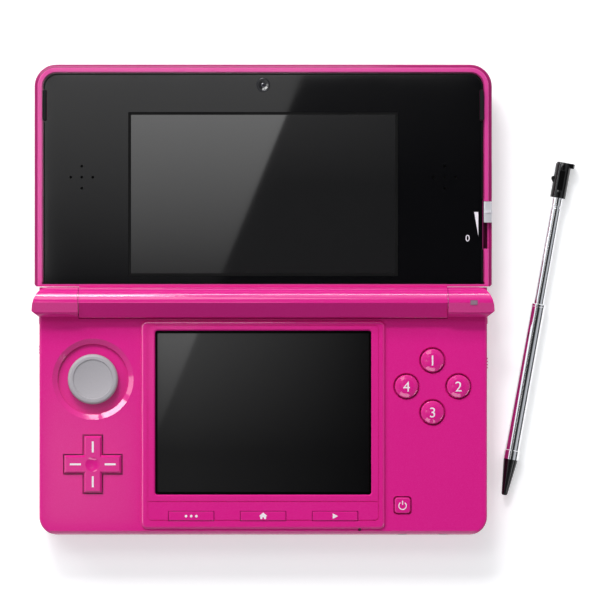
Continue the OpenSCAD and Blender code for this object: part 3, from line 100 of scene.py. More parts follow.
def add(tree, kind, **settings):
    """A new node; each setting is one of its properties, or else the value of one of its inputs."""
    node = tree.nodes.new(kind)
    for key, value in settings.items():
        if hasattr(node, key):
            setattr(node, key, value)
        else:
            node.inputs[key].default_value = value
    return node


print("node helpers ready")

# %% [markdown]
# Pearl paint holds fine flakes. Seen close, each flake is a small patch that is a little lighter or
# darker than its neighbours. A Voronoi texture gives every cell its own random value, and that value
# says how much of the light colour is mixed into the paint there. Raised to a power, most values
# become small, so that only a few flakes shine.

# %% Pearl flakes
FLAKE_POWER = 2.2
flakes, start, end = effect_group(
    "pearl_flakes",
    [("Color", "NodeSocketColor", None), ("Light", "NodeSocketColor", None),
     ("Scale", "NodeSocketFloat", 5000.0), ("Amount", "NodeSocketFloat", 0.3)],
    [("Color", "NodeSocketColor")])
place = add(flakes, "ShaderNodeTexCoord")
cells = add(flakes, "ShaderNodeTexVoronoi", feature="F1")
flakes.links.new(place.outputs["Object"], cells.inputs["Vector"])
flakes.links.new(start.outputs["Scale"], cells.inputs["Scale"])
sparkle = add(flakes, "ShaderNodeSeparateColor")
flakes.links.new(cells.outputs["Color"], sparkle.inputs["Color"])
few = add(flakes, "ShaderNodeMath", operation="POWER")
few.inputs[1].default_value = FLAKE_POWER
flakes.links.new(sparkle.outputs["Red"], few.inputs[0])
share = add(flakes, "ShaderNodeMath", operation="MULTIPLY")
flakes.links.new(few.outputs[0], share.inputs[0])
flakes.links.new(start.outputs["Amount"], share.inputs[1])
blend = add(flakes, "ShaderNodeMix", data_type="RGBA")
flakes.links.new(share.outputs[0], blend.inputs["Factor"])
flakes.links.new(start.outputs["Color"], blend.inputs[6])
flakes.links.new(start.outputs["Light"], blend.inputs[7])
flakes.links.new(blend.outputs[2], end.inputs["Color"])
print("group:", flakes.name)

# %% [markdown]
# Nothing that is handled stays evenly glossy. The handling group turns a slow noise into a small
# spread of roughness, so reflections waver a little where fingers have been.

# %% Traces of handling
handling, start, end = effect_group(
    "handling",
    [("Low", "NodeSocketFloat", 0.1), ("High", "NodeSocketFloat", 0.2),
     ("Scale", "NodeSocketFloat", 60.0)],
    [("Roughness", "NodeSocketFloat")])
place = add(handling, "ShaderNodeTexCoord")
smear = add(handling, "ShaderNodeTexNoise", Detail=6.0, Distortion=0.6)
handling.links.new(place.outputs["Object"], smear.inputs["Vector"])
handling.links.new(start.outputs["Scale"], smear.inputs["Scale"])
spread = add(handling, "ShaderNodeMapRange", **{"From Min": 0.35, "From Max": 0.7})
handling.links.new(smear.outputs["Fac"], spread.inputs["Value"])
handling.links.new(start.outputs["Low"], spread.inputs["To Min"])
handling.links.new(start.outputs["High"], spread.inputs["To Max"])
handling.links.new(spread.outputs["Result"], end.inputs["Roughness"])
print("group:", handling.name)

# %% [markdown]
# Moulded plastic and rubber have a fine grain from the spark-eroded mould. The grain group gives a
# height for a Bump node and a gentle colour change between the peaks and the hollows.

# %% Mould grain
grain, start, end = effect_group(
    "mould_grain",
    [("Color", "NodeSocketColor", None), ("Scale", "NodeSocketFloat", 4000.0),
     ("Contrast", "NodeSocketFloat", 0.1)],
    [("Color", "NodeSocketColor"), ("Height", "NodeSocketFloat")])
place = add(grain, "ShaderNodeTexCoord")
bumps = add(grain, "ShaderNodeTexNoise", Detail=3.0, Roughness=0.6)
grain.links.new(place.outputs["Object"], bumps.inputs["Vector"])
grain.links.new(start.outputs["Scale"], bumps.inputs["Scale"])
shade = add(grain, "ShaderNodeMapRange", **{"From Min": 0.3, "From Max": 0.7, "To Max": 1.0})
hollow = add(grain, "ShaderNodeMath", operation="SUBTRACT")
hollow.inputs[0].default_value = 1.0
grain.links.new(start.outputs["Contrast"], hollow.inputs[1])
grain.links.new(hollow.outputs[0], shade.inputs["To Min"])
grain.links.new(bumps.outputs["Fac"], shade.inputs["Value"])
tone = add(grain, "ShaderNodeVectorMath", operation="SCALE")
grain.links.new(start.outputs["Color"], tone.inputs[0])
grain.links.new(shade.outputs["Result"], tone.inputs["Scale"])
grain.links.new(tone.outputs[0], end.inputs["Color"])
grain.links.new(bumps.outputs["Fac"], end.inputs["Height"])
print("group:", grain.name)

# %% [markdown]
# ## Finishes
# One function sets the plain numbers on a Principled shader. Small functions then wire the effects in.

# %% Functions that make a finish


def rgb(red, green, blue):
    """A colour as it is seen on screen, 0 to 255, turned into the linear values that Blender uses."""
    def linear(value):
        value /= 255
        return value / 12.92 if value <= 0.04045 else ((value + 0.055) / 1.055) ** 2.4
    return (linear(red), linear(green), linear(blue), 1.0)


def shader_of(material):
    return material.node_tree.nodes["Principled BSDF"]


def finish(name, color, roughness, **numbers):
    """A plain material; numbers are further inputs of its shader, with _ for each space."""
    material = bpy.data.materials.new(name)
    material.use_nodes = True
    shader = shader_of(material)
    shader.inputs["Base Color"].default_value = color
    shader.inputs["Roughness"].default_value = roughness
    for key, value in numbers.items():
        shader.inputs[key.replace("_", " ")].default_value = value
    return material


def place_group(material, group, **values):
    node = material.node_tree.nodes.new("ShaderNodeGroup")
    node.node_tree = group
    for key, value in values.items():
        node.inputs[key].default_value = value
    return node


def handled(name, color, roughness, waver, scale=60.0, **numbers):
    """A finish whose roughness wavers between the two values of waver."""
    material = finish(name, color, roughness, **numbers)
    node = place_group(material, handling, Low=waver[0], High=waver[1], Scale=scale)
    material.node_tree.links.new(node.outputs["Roughness"], shader_of(material).inputs["Roughness"])
    return material


def with_flakes(material, color, light):
    node = place_group(material, flakes, Color=color, Light=light,
                       Scale=FLAKE_SCALE, Amount=FLAKE_AMOUNT)
    material.node_tree.links.new(node.outputs["Color"], shader_of(material).inputs["Base Color"])


def with_grain(material, color, scale, contrast, depth):
    """Adds the mould's grain; depth is the height of its bumps in millimetres."""
    tree, shader = material.node_tree, shader_of(material)
    node = place_group(material, grain, Color=color, Scale=scale, Contrast=contrast)
    tree.links.new(node.outputs["Color"], shader.inputs["Base Color"])
    bump = add(tree, "ShaderNodeBump", Strength=1.0, Distance=depth * MM)
    tree.links.new(node.outputs["Height"], bump.inputs["Height"])
    tree.links.new(bump.outputs["Normal"], shader.inputs["Normal"])


print("finish helpers ready")

# %% [markdown]
# The shells are injection moulded, sprayed with a pearl magenta and lacquered. The paint below is
# rough and mirrors little, which keeps its colour deep. The lacquer is the smooth coat on top, and the
# sharp highlights are its own. The cover of the lid is a darker shade, as its outer edge is in the
# photograph.

# %% Shell paint
MAGENTA = rgb(222, 14, 137)
COVER_MAGENTA = rgb(162, 10, 100)
MAGENTA_LIGHT = rgb(255, 120, 205)
RIM_PINK = rgb(222, 62, 152)
FLAKE_SCALE, FLAKE_AMOUNT = 9000.0, 0.1
SHELL_WAVER, BUTTON_WAVER = (0.44, 0.54), (0.36, 0.44)


def lacquer(roughness, specular=0.15):
    """The numbers of a clear coat over paint that mirrors little by itself."""
    return {"Coat_Weight": 1.0, "Coat_Roughness": roughness, "Specular_IOR_Level": specular}


shell_paint = handled("shell_paint", MAGENTA, 0.5, SHELL_WAVER, **lacquer(0.06))
with_flakes(shell_paint, MAGENTA, MAGENTA_LIGHT)
cover_paint = handled("cover_paint", COVER_MAGENTA, 0.5, SHELL_WAVER, **lacquer(0.06))
with_flakes(cover_paint, COVER_MAGENTA, MAGENTA)
button_paint = handled("button_paint", MAGENTA, 0.4, BUTTON_WAVER, **lacquer(0.03))
with_flakes(button_paint, MAGENTA, MAGENTA_LIGHT)
print("paints:", shell_paint.name, cover_paint.name, button_paint.name)

# %% [markdown]
# The frame of the lid has two tones: the barrel is painted like the shells, and the narrow rim round
# the glass is a lighter pink. A ramp along the object's own Y axis changes from one to the other in
# the neck between them, 5 mm from the hinge axis.

# %% Two-tone paint of the lid frame
TONES_FROM, TONES_TO = 4.9, 5.1
rim_paint = handled("rim_paint", RIM_PINK, 0.5, SHELL_WAVER, **lacquer(0.05, 0.2))
tree = rim_paint.node_tree
place = add(tree, "ShaderNodeTexCoord")
split = add(tree, "ShaderNodeSeparateXYZ")
tree.links.new(place.outputs["Object"], split.inputs[0])
along = add(tree, "ShaderNodeMapRange",
            **{"From Min": HINGE_Y + TONES_FROM * MM, "From Max": HINGE_Y + TONES_TO * MM})
tree.links.new(split.outputs["Y"], along.inputs["Value"])
two_tone = add(tree, "ShaderNodeMix", data_type="RGBA")
two_tone.inputs[6].default_value = MAGENTA
two_tone.inputs[7].default_value = RIM_PINK
tree.links.new(along.outputs["Result"], two_tone.inputs["Factor"])
fleck = place_group(rim_paint, flakes, Light=MAGENTA_LIGHT, Scale=FLAKE_SCALE, Amount=FLAKE_AMOUNT)
tree.links.new(two_tone.outputs[2], fleck.inputs["Color"])
tree.links.new(fleck.outputs["Color"], shader_of(rim_paint).inputs["Base Color"])
print("two tones:", rim_paint.name)

# %% [markdown]
# The face of the lid is one sheet of black acrylic, hard-coated and highly polished. The displays are
# switched off: a neutral dark grey behind glass, with a dull black border. That border mirrors little,
# because a rough surface that mirrors the lamps would turn grey. The glass over both picture areas is
# very smooth, so that the edge of a reflection stays sharp in it.

# %% Black glass and displays
SLOW_SMEARS = 25.0
GLASS_WAVER = (0.02, 0.035)
panel_black = handled("panel_black", rgb(5, 5, 7), 0.05, (0.03, 0.07), SLOW_SMEARS, IOR=1.5)
display_glass = handled("display_glass", rgb(19, 19, 20), 0.08, GLASS_WAVER, SLOW_SMEARS, IOR=2.05)
# The same dull black also serves as the painted shade of the gap round the glossy panel of the lid.
display_edge_and_gap_shade = handled("display_edge_and_gap_shade", rgb(4, 4, 4), 0.4, BUTTON_WAVER, Specular_IOR_Level=0.2)
touch_film = handled("touch_film", rgb(5, 5, 6), 0.08, GLASS_WAVER, SLOW_SMEARS, IOR=1.5)
# The near-black border round the lower cell is the display's own border, and in part painted shade that
# stands for the recess wall shading the edge of the touch screen.
touch_border = handled("touch_border", rgb(2, 2, 2), 0.3, (0.16, 0.24), SLOW_SMEARS,
                       Specular_IOR_Level=0.1)
print("glass:", panel_black.name, display_glass.name, touch_film.name)

# %% [markdown]
# The stylus tubes are drawn steel with bright chrome plating. Chrome is almost white and nearly
# perfectly smooth, so what is seen in it is the room. A little wavering of its roughness breaks the
# reflection up just enough to look like metal. The depth slider is silver plastic, so it is only a
# little metallic and keeps the grain of its mould.

# %% Metals
chrome = handled("chrome_tube", (0.9, 0.9, 0.92, 1.0), 0.09, (0.08, 0.11), 40.0, Metallic=1.0)
steel = handled("plated_steel", (0.55, 0.55, 0.55, 1.0), 0.3, (0.24, 0.42), 400.0, Metallic=1.0)
SILVER = (0.78, 0.77, 0.82, 1.0)
silver = finish("silver_slider", SILVER, 0.3, Metallic=0.3, Coat_Weight=0.5)
with_grain(silver, SILVER, 5000.0, 0.08, 0.002)
print("metals:", chrome.name, steel.name, silver.name)

# %% [markdown]
# The tip and the cap of the stylus are black polished plastic.

# %% Polished black
black_gloss = handled("black_gloss", rgb(9, 9, 10), 0.16, (0.13, 0.19), 120.0, IOR=1.5)
print("polished:", black_gloss.name)

# %% [markdown]
# Rubbers and uncoated plastics are matt with a fine grain. The thumb pad is a soft grey elastomer. For
# each, the table gives its colour, its roughness, how fine the grain is and how strongly it shows.

# %% Plastics and rubbers
GRAIN_DEPTH = 0.004
RUBBER_SHINE = 0.2
MATT_KINDS = {
    "black_plastic": (rgb(16, 16, 17), 0.38, 3800.0, 0.2),
    "black_rubber": (rgb(13, 13, 14), 0.6, 4500.0, 0.3),
    "pad_grey": (rgb(176, 172, 177), 0.45, 4200.0, 0.08),
    "membrane_rubber": (rgb(196, 196, 190), 0.6, 3000.0, 0.1),
    "board_green": (rgb(14, 84, 40), 0.45, 900.0, 0.3),
    "battery_grey": (rgb(74, 76, 80), 0.5, 2500.0, 0.15),
    "white_plastic": (rgb(222, 222, 216), 0.4, 3000.0, 0.06),
    "light_pipe": (rgb(150, 120, 140), 0.25, 2500.0, 0.1),
    "flex_amber": (rgb(150, 92, 24), 0.35, 2000.0, 0.15),
    "print_white": (rgb(248, 240, 247), 0.4, 6000.0, 0.06),
}
matt = {}
for name, (color, roughness, scale, contrast) in MATT_KINDS.items():
    matt[name] = finish(name, color, roughness)
    with_grain(matt[name], color, scale, contrast, GRAIN_DEPTH)
shader_of(matt["black_rubber"]).inputs["Specular IOR Level"].default_value = RUBBER_SHINE
print("matt finishes:", len(matt))

# %% [markdown]
# ## Dressing the CAD pieces
# A CAD mesh keeps its shape, but its material slots are ours. The table names which pieces take which
# finish, and every node of the frame has to be in it.

# %% Give every CAD node its finish
DRESS = {
    cover_paint: "lid_cover",
    shell_paint: "top_case lower_case battery_cover left_shoulder right_shoulder volume_slider "
                 "wireless_switch card_cover pad_slider",
    rim_paint: "lid_frame",
    button_paint: "dpad button_top button_left button_right button_bottom power_button select_key "
                  "home_key start_key",
    panel_black: "lid_panel inner_camera outer_cameras ir_window",
    display_edge_and_gap_shade: "upper_display lower_display",
    touch_border: "touch_panel",
    matt["pad_grey"]: "circle_pad",
    matt["black_plastic"]: "audio_jack stylus_sleeve pad_tray speakers",
    black_gloss: "stylus_tip stylus_cap",
    matt["black_rubber"]: "lid_bumpers",
    matt["membrane_rubber"]: "dpad_membrane button_membrane key_membrane",
    matt["board_green"]: "main_board camera_board",
    matt["battery_grey"]: "battery",
    steel: "memory_socket game_card_cage charge_port case_screws cover_screws lid_screws hinge_shaft "
           "hinge_cartridge microphone pad_carriage",
    matt["white_plastic"]: "hinge_bush dpad_pivot",
    matt["light_pipe"]: "status_leds notice_led",
    matt["flex_amber"]: "flex_cable",
    silver: "depth_slider",
    chrome: "stylus_tube stylus_inner_tube",
}
dressed = set()
for material, names in DRESS.items():
    for name in names.split():
        mesh = nodes[name].data
        mesh.materials.clear()
        mesh.materials.append(material)
        dressed.add(name)
assert dressed == set(nodes), dressed ^ set(nodes)
print("dressed:", len(dressed), "nodes")

# %% [markdown]
# ## Soft edges
# No moulded edge is perfectly sharp: it has a radius of a tenth of a millimetre or so, and that radius
# is what catches the light. A Bevel modifier adds it without touching the CAD mesh itself. The imported
# mesh is split along its edges, so a Weld comes first, and a Weighted Normal keeps the flats flat. Only
# the small pieces in this list get it. The others keep the edges that the CAD gave them.

# %% Round the edges of the small pieces that are touched
WELD_DISTANCE = 0.002
BEVEL_ANGLE = 40
SOFT_EDGES = {
    "left_shoulder": 0.2, "right_shoulder": 0.2, "volume_slider": 0.1, "wireless_switch": 0.1,
    "card_cover": 0.12, "depth_slider": 0.1, "stylus_cap": 0.15, "lid_bumpers": 0.15,
}


def soften(piece, width):
    """Rounds the sharp edges of a piece by width millimetres."""
    weld = piece.modifiers.new("weld", "WELD")
    weld.merge_threshold = WELD_DISTANCE * MM
    bevel = piece.modifiers.new("soft_edge", "BEVEL")
    bevel.width = width * MM
    bevel.segments = 2
    bevel.limit_method = "ANGLE"
    bevel.angle_limit = math.radians(BEVEL_ANGLE)
    bevel.use_clamp_overlap = True
    normals = piece.modifiers.new("flat_faces", "WEIGHTED_NORMAL")
    normals.keep_sharp = False


for name, width in SOFT_EDGES.items():
    soften(nodes[name], width)
print("softened:", len(SOFT_EDGES), "pieces")

# %% [markdown]
# Everything that is added from here on is a mesh of its own. It needs a material, a place in the scene
# and a body of the frame to ride on, so that it moves with the joints. One helper does all three.

# %% A helper that makes a piece


def new_piece(name, bm, body, material):
    """Turns bm into an object that rides on body and takes material as its finish."""
    mesh = bpy.data.meshes.new(name)
    bm.to_mesh(mesh)
    bm.free()
    mesh.materials.append(material)
    piece = bpy.data.objects.new(name, mesh)
    bpy.context.scene.collection.objects.link(piece)
    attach(piece, body)


print("piece helper ready")

# %% [markdown]
# ## Printed and moulded marks
# The marks on keys and buttons are thin: a few hundredths of a millimetre of print, or a filled
# engraving. Each is drawn as a flat outline and then dropped onto the surface that carries it, so that
# it follows a domed button just as well as a flat key. A short skirt goes down into the surface, so
# that no gap shows under the print.

# %% Helpers that lay a mark on a surface
MARK_LIFT, MARK_SKIRT = 0.02, 0.05
SPLIT_ROUNDS = 2
INK = matt["print_white"]


def surface_under(node):
    mesh = nodes[node].data
    return BVHTree.FromPolygons([v.co for v in mesh.vertices], [p.vertices for p in mesh.polygons])


def straight_down(surface, vertex):
    """The highest point of the surface in line with the vertex, or None where there is no surface."""
    return surface.ray_cast(Vector((vertex.co.x, vertex.co.y, 1)), Vector((0, 0, -1)))[0]


def laid_mark(name, body, node, bm, material, cell):
    """Lays the flat bm on the node, split until its edges are about cell millimetres long."""
    bmesh.ops.triangulate(bm, faces=bm.faces)
    for _ in range(SPLIT_ROUNDS):
        long_edges = [e for e in bm.edges if e.calc_length() > cell * MM]
        if long_edges:
            bmesh.ops.subdivide_edges(bm, edges=long_edges, cuts=1)
            bmesh.ops.triangulate(bm, faces=bm.faces)
    surface = surface_under(node)
    for vertex in bm.verts:
        vertex.co.z = straight_down(surface, vertex).z + MARK_LIFT * MM
    sides = bmesh.ops.extrude_edge_only(bm, edges=[e for e in bm.edges if e.is_boundary])
    for vertex in [v for v in sides["geom"] if isinstance(v, bmesh.types.BMVert)]:
        vertex.co.z -= MARK_SKIRT * MM
    bmesh.ops.recalc_face_normals(bm, faces=bm.faces)
    new_piece(name, bm, body, material)


def flat_mark(name, body, node, faces, cell=0.25):
    """A print of closed outlines, in millimetres, in the object's own frame."""
    bm = bmesh.new()
    for outline in faces:
        bm.faces.new([bm.verts.new((x * MM, y * MM, 0)) for x, y in outline])
    laid_mark(name, body, node, bm, INK, cell)


print("mark helpers ready")

# %% [markdown]
# The signs are made of simple outlines. A mesh has no curves, so a ring is a row of short four-sided
# pieces, enough of them to look round at this size.

# %% Outlines that the marks are drawn with


def ring_part(x, y, r_in, r_out, start, stop, steps=24):
    """A flat ring, or a part of one, from start to stop degrees."""
    turns = [math.radians(start + (stop - start) * i / steps) for i in range(steps + 1)]
    outer = [(x + r_out * math.cos(a), y + r_out * math.sin(a)) for a in turns]
    inner = [(x + r_in * math.cos(a), y + r_in * math.sin(a)) for a in reversed(turns)]
    return [(outer[i], outer[i + 1], inner[steps - 1 - i], inner[steps - i]) for i in range(steps)]


def bar(x0, y0, x1, y1):
    return [(x0, y0), (x1, y0), (x1, y1), (x0, y1)]


def at(spot, outlines):
    """Moves outlines that are drawn round zero to spot."""
    return [[(spot.x + x, spot.y + y) for x, y in outline] for outline in outlines]


print("outline helpers ready")

# %% [markdown]
# Each round button carries one plain numeral, where a console has its maker's letters. Blender's own
# font is cut as a curve, made into a mesh and laid on the dome.

# %% Numerals on the four round buttons
NUMERAL_HEIGHT = 2.9
NUMERAL_CELL = 0.3
CURVE_STEPS = 4


def numeral(text, height, x, y):
    """A bmesh of the text, height millimetres tall, its middle at (x, y) millimetres."""
    curve = bpy.data.curves.new("numeral", "FONT")
    curve.body = text
    curve.align_x = "CENTER"
    curve.resolution_u = CURVE_STEPS
    holder = bpy.data.objects.new("numeral", curve)
    bpy.context.scene.collection.objects.link(holder)
    bpy.context.view_layer.update()
    mesh = bpy.data.meshes.new_from_object(holder)
    bpy.data.objects.remove(holder)
    ys = [v.co.y for v in mesh.vertices]
    xs = [v.co.x for v in mesh.vertices]
    scale = height * MM / (max(ys) - min(ys))
    for vertex in mesh.vertices:
        vertex.co.x = (vertex.co.x - (max(xs) + min(xs)) / 2) * scale + x * MM
        vertex.co.y = (vertex.co.y - (max(ys) + min(ys)) / 2) * scale + y * MM
    bm = bmesh.new()
    bm.from_mesh(mesh)
    bpy.data.meshes.remove(mesh)
    return bm


for text, button in zip("1234", ["button_top", "button_right", "button_bottom", "button_left"]):
    spot = middle(button) / MM
    laid_mark("numeral_" + text, button, button, numeral(text, NUMERAL_HEIGHT, spot.x, spot.y), INK,
              NUMERAL_CELL)
print("numerals on the round buttons: 4")

# %% [markdown]
# The direction pad has a short line on each arm, and the power button a ring broken by a stroke, the
# sign that stands on power buttons everywhere.

# %% Lines on the direction pad, sign on the power button
ARM_LINE = bar(3.45, -0.28, 6.65, 0.28)
spot = middle("dpad") / MM
arms = []
for turn in range(4):
    c, s = math.cos(turn * math.pi / 2), math.sin(turn * math.pi / 2)
    arms += at(spot, [[(x * c - y * s, x * s + y * c) for x, y in ARM_LINE]])
flat_mark("pad_lines", "dpad", "dpad", arms)

RING_IN, RING_OUT, RING_DROP = 0.95, 1.22, 0.1
RING_FROM, RING_TO = 125, 415
STROKE = bar(-0.14, 0.2, 0.14, 1.35)
spot = middle("power_button") / MM
ring = ring_part(spot.x, spot.y - RING_DROP, RING_IN, RING_OUT, RING_FROM, RING_TO)
flat_mark("power_sign", "power_button", "power_button", ring + at(spot, [STROKE]))
print("marks:", "pad_lines", "power_sign")

# %% [markdown]
# The three flat keys get small signs instead of words: dots, a house and a triangle.

# %% Signs on the flat keys
DOT_PITCH, DOT_IN, DOT_OUT, DOT_STEPS = 1.5, 0.05, 0.38, 20
HOUSE = [[(-1.25, 0), (1.25, 0), (0, 1.05)], bar(-0.85, -0.85, -0.25, -0.02),
         bar(0.25, -0.85, 0.85, -0.02), bar(-0.25, -0.35, 0.25, -0.02)]
TRIANGLE = [[(-0.7, -0.8), (0.85, 0), (-0.7, 0.8)]]

spot = middle("select_key") / MM
dots = []
for i in (-1, 0, 1):
    dots += ring_part(spot.x + DOT_PITCH * i, spot.y, DOT_IN, DOT_OUT, 0, 360, DOT_STEPS)
flat_mark("select_dots", "select_key", "select_key", dots)
flat_mark("home_house", "home_key", "home_key", at(middle("home_key") / MM, HOUSE))
flat_mark("start_triangle", "start_key", "start_key", at(middle("start_key") / MM, TRIANGLE))
print("signs on keys: 3")

# %% [markdown]
# Beside the depth slider a pale wedge shows more and less, with a plain 0 at its end.

# %% Scale of the depth slider
SCALE_X, SCALE_TOP, SCALE_LOW, WEDGE_WIDTH = 62.5, 57.9, 50.9, 1.2
ZERO_X, ZERO_Y, ZERO_HEIGHT = 59.4, 50.3, 1.9
WEDGE_CELL, ZERO_CELL = 1.0, 0.5
wedge = [[(SCALE_X, SCALE_LOW), (SCALE_X, SCALE_TOP), (SCALE_X - WEDGE_WIDTH, SCALE_TOP)]]
flat_mark("depth_wedge", "lid", "lid_panel", wedge, WEDGE_CELL)
laid_mark("depth_zero", "lid", "lid_panel", numeral("0", ZERO_HEIGHT, ZERO_X, ZERO_Y), INK, ZERO_CELL)
print("scale marks:", "depth_wedge", "depth_zero")

# %% [markdown]
# The glossy panel lies in the frame of the lid with a hair-thin gap round it, and the shade in that gap
# shows as a dark line beside the pink rim. That shade is painted: a narrow band of dull black laid on
# the panel, along the sides and over its rounded top, and left out where the panel is cut away and
# nothing would carry it. Making the panel's own edge rougher doesn't give that line: rough gloss mirrors
# the lamps and turns grey.

# %% Outline of the panel
PANE_RADIUS = 4.2
SIDE_POINTS, BEND_POINTS = 140, 12


def pane_outline(inset):
    """Up the left side of the panel, over its top and down the right side, inset millimetres inside."""
    low, high = box_mm("lid_panel")
    radius = PANE_RADIUS - inset
    left, right, bottom, top = low.x + inset, high.x - inset, low.y + inset, high.y - inset
    straight = top - radius - bottom
    points = [(left, bottom + straight * k / SIDE_POINTS) for k in range(SIDE_POINTS)]
    for centre, start in ((left + radius, math.pi), (right - radius, math.pi / 2)):
        for k in range(BEND_POINTS + 1):
            turn = start - math.pi / 2 * k / BEND_POINTS
            points.append((centre + radius * math.cos(turn), top - radius + radius * math.sin(turn)))
    return points + [(right, top - radius - straight * k / SIDE_POINTS)
                     for k in range(1, SIDE_POINTS + 1)]


print("points on the outline:", len(pane_outline(0)))

# %% [markdown]
# The band is two rows of points, one a little further in, joined by faces. A ray from above finds out
# for each pair of points whether the top of the panel is there.

# %% Painted shade of the gap round the panel
GAP_SHADE_INSETS = (0.1, 0.5)
NEAR_TOP = 0.2
WHOLE_CELL = 200.0
pane = surface_under("lid_panel")
lowest = top_of("lid_panel") - NEAR_TOP * MM
gap = bmesh.new()
rows = [[gap.verts.new((x * MM, y * MM, 0)) for x, y in pane_outline(inset)] for inset in GAP_SHADE_INSETS]
carried = []
for pair in zip(*rows):
    hits = [straight_down(pane, vertex) for vertex in pair]
    carried.append(all(hit is not None and hit.z > lowest for hit in hits))
for k in range(len(carried) - 1):
    if carried[k] and carried[k + 1]:
        gap.faces.new([rows[0][k], rows[0][k + 1], rows[1][k + 1], rows[1][k]])
for vertex in [v for v in gap.verts if not v.link_faces]:
    gap.verts.remove(vertex)
# The band is painted shade: dull black laid where the gap round the panel lies in shadow.
laid_mark("panel_gap", "lid", "lid_panel", gap, display_edge_and_gap_shade, WHOLE_CELL)
print("gap line on", sum(carried), "of", len(carried), "points")

# %% [markdown]
# ## Displays and lenses
# Behind each cover glass lies the cell of the display: the part that would light up. Switched off it
# is a shade lighter than its border. Each is a thin sheet with a fine bevel all round.

# %% Display cells
UPPER_PICTURE, LOWER_PICTURE = (76.8, 46.08), (61.44, 46.08)
CELL_CORNER, CELL_THICK, CELL_BEVEL, CELL_LIFT = 0.2, 0.06, 0.02, 0.02


def rounded_outline(w, d, r, steps=6):
    points = []
    for cx, cy, a0 in ((w / 2 - r, d / 2 - r, 0), (r - w / 2, d / 2 - r, 90),
                       (r - w / 2, r - d / 2, 180), (w / 2 - r, r - d / 2, 270)):
        for i in range(steps + 1):
            a = math.radians(a0 + 90 * i / steps)
            points.append((cx + r * math.cos(a), cy + r * math.sin(a)))
    return points


def picture_area(name, body, node, size, material):
    """A thin bevelled sheet of that size in millimetres, on the node's top, midway along y and centred
    on x = 0.
    """
    spot, top = middle(node) / MM, top_of(node) + CELL_LIFT * MM
    bm = bmesh.new()
    loops = []
    for inset, z in ((0, -CELL_THICK), (0, -CELL_BEVEL), (CELL_BEVEL, 0)):
        outline = rounded_outline(size[0] - 2 * inset, size[1] - 2 * inset, CELL_CORNER)
        loops.append([bm.verts.new((x * MM, (spot.y + y) * MM, top + z * MM)) for x, y in outline])
    for low_loop, high_loop in zip(loops, loops[1:]):
        for i in range(len(low_loop)):
            j = (i + 1) % len(low_loop)
            bm.faces.new((low_loop[i], low_loop[j], high_loop[j], high_loop[i]))
    bm.faces.new(loops[-1])
    bm.faces.new(list(reversed(loops[0])))
    new_piece(name, bm, body, material)


picture_area("upper_cell", "lid", "upper_display", UPPER_PICTURE, display_glass)
picture_area("lower_cell", "base", "touch_panel", LOWER_PICTURE, touch_film)
print("cells:", "upper_cell", "lower_cell")

# %% [markdown]
# The parts of a camera are round, so each is drawn as a profile and turned about an axis, as on a lathe.

# %% A helper that turns a profile
SEGMENTS = 48
ON_AXIS = 1e-6


def lathe(name, body, profile, centre, material, facing=1):
    """Turns a profile of (radius, height) in millimetres about the vertical through centre."""
    bm = bmesh.new()
    rings = []
    for radius, height in profile:
        z = centre.z + facing * height * MM
        if radius < ON_AXIS:
            rings.append([bm.verts.new((centre.x, centre.y, z))])
            continue
        turns = [2 * math.pi * i / SEGMENTS for i in range(SEGMENTS)]
        rings.append([bm.verts.new((centre.x + radius * MM * math.cos(turn),
                                    centre.y + radius * MM * math.sin(turn), z)) for turn in turns])
    for inner, outer in zip(rings, rings[1:]):
        for i in range(SEGMENTS):
            j = i + 1
            corners = [inner[i % len(inner)], inner[j % len(inner)],
                       outer[j % len(outer)], outer[i % len(outer)]]
            bm.faces.new(list(dict.fromkeys(corners)))
    bmesh.ops.recalc_face_normals(bm, faces=bm.faces)
    for face in bm.faces:
        face.smooth = True
    new_piece(name, bm, body, material)


print("lathe ready")

# %% [markdown]
# A camera lens is a small glass dome in a black barrel. The one above the upper display has a polished
# ring round it that catches the light. The two on the back of the lid face the other way.

# %% Lenses
INNER_LENS, INNER_DEPTH = (0.72, 0.3), 0.45
RING_SHAPE, RING_DEPTH = (1.62, 2.0, 0.06), 0.02
OUTER_LENS, OUTER_DEPTH, OUTER_FROM_END = (1.25, 0.4), 0.7, 3.35
lens_glass = handled("lens_glass", rgb(18, 16, 30), 0.04, (0.02, 0.06), 200.0,
                     Coat_Weight=1.0, Coat_Roughness=0.02)
lens_ring = handled("lens_ring", rgb(44, 44, 48), 0.22, (0.18, 0.28), 300.0, Metallic=0.6)


def dome(radius, rise, steps=6):
    """The profile of a lens: its rim and then its arc up to the axis."""
    arc = [math.pi / 2 * i / steps for i in range(steps)]
    return [(radius, 0)] + [(radius * math.cos(a), rise * math.sin(a)) for a in arc] + [(0, rise)]


def ring_profile(r_in, r_out, h, bevel=0.06):
    return [(r_in, 0), (r_in, h - bevel), (r_in + bevel, h), (r_out - bevel, h), (r_out, h - bevel),
            (r_out, 0), (r_in, 0)]


eye = middle("inner_camera")
eye.z = top_of("inner_camera") - INNER_DEPTH * MM
lathe("inner_lens", "lid", dome(*INNER_LENS), eye, lens_glass)
eye.z = top_of("inner_camera") - RING_DEPTH * MM
lathe("inner_lens_ring", "lid", ring_profile(*RING_SHAPE), eye, lens_ring)
back_low, back_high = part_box("outer_cameras")
back_y = (back_low.y + back_high.y) / 2
for which, side in (("left", -1), ("right", 1)):
    eye = Vector((side * (back_high.x - OUTER_FROM_END * MM), back_y, back_low.z + OUTER_DEPTH * MM))
    lathe("outer_lens_" + which, "lid", dome(*OUTER_LENS), eye, lens_glass, facing=-1)
print("lenses: 3")

# %% [markdown]
# ## Camera and light
# The photograph is taken from straight above with a long lens, so there is hardly any perspective.
# Two facts fix the camera: how many pixels a millimetre takes, and where the console's middle line and
# its hinge axis lie in the picture.

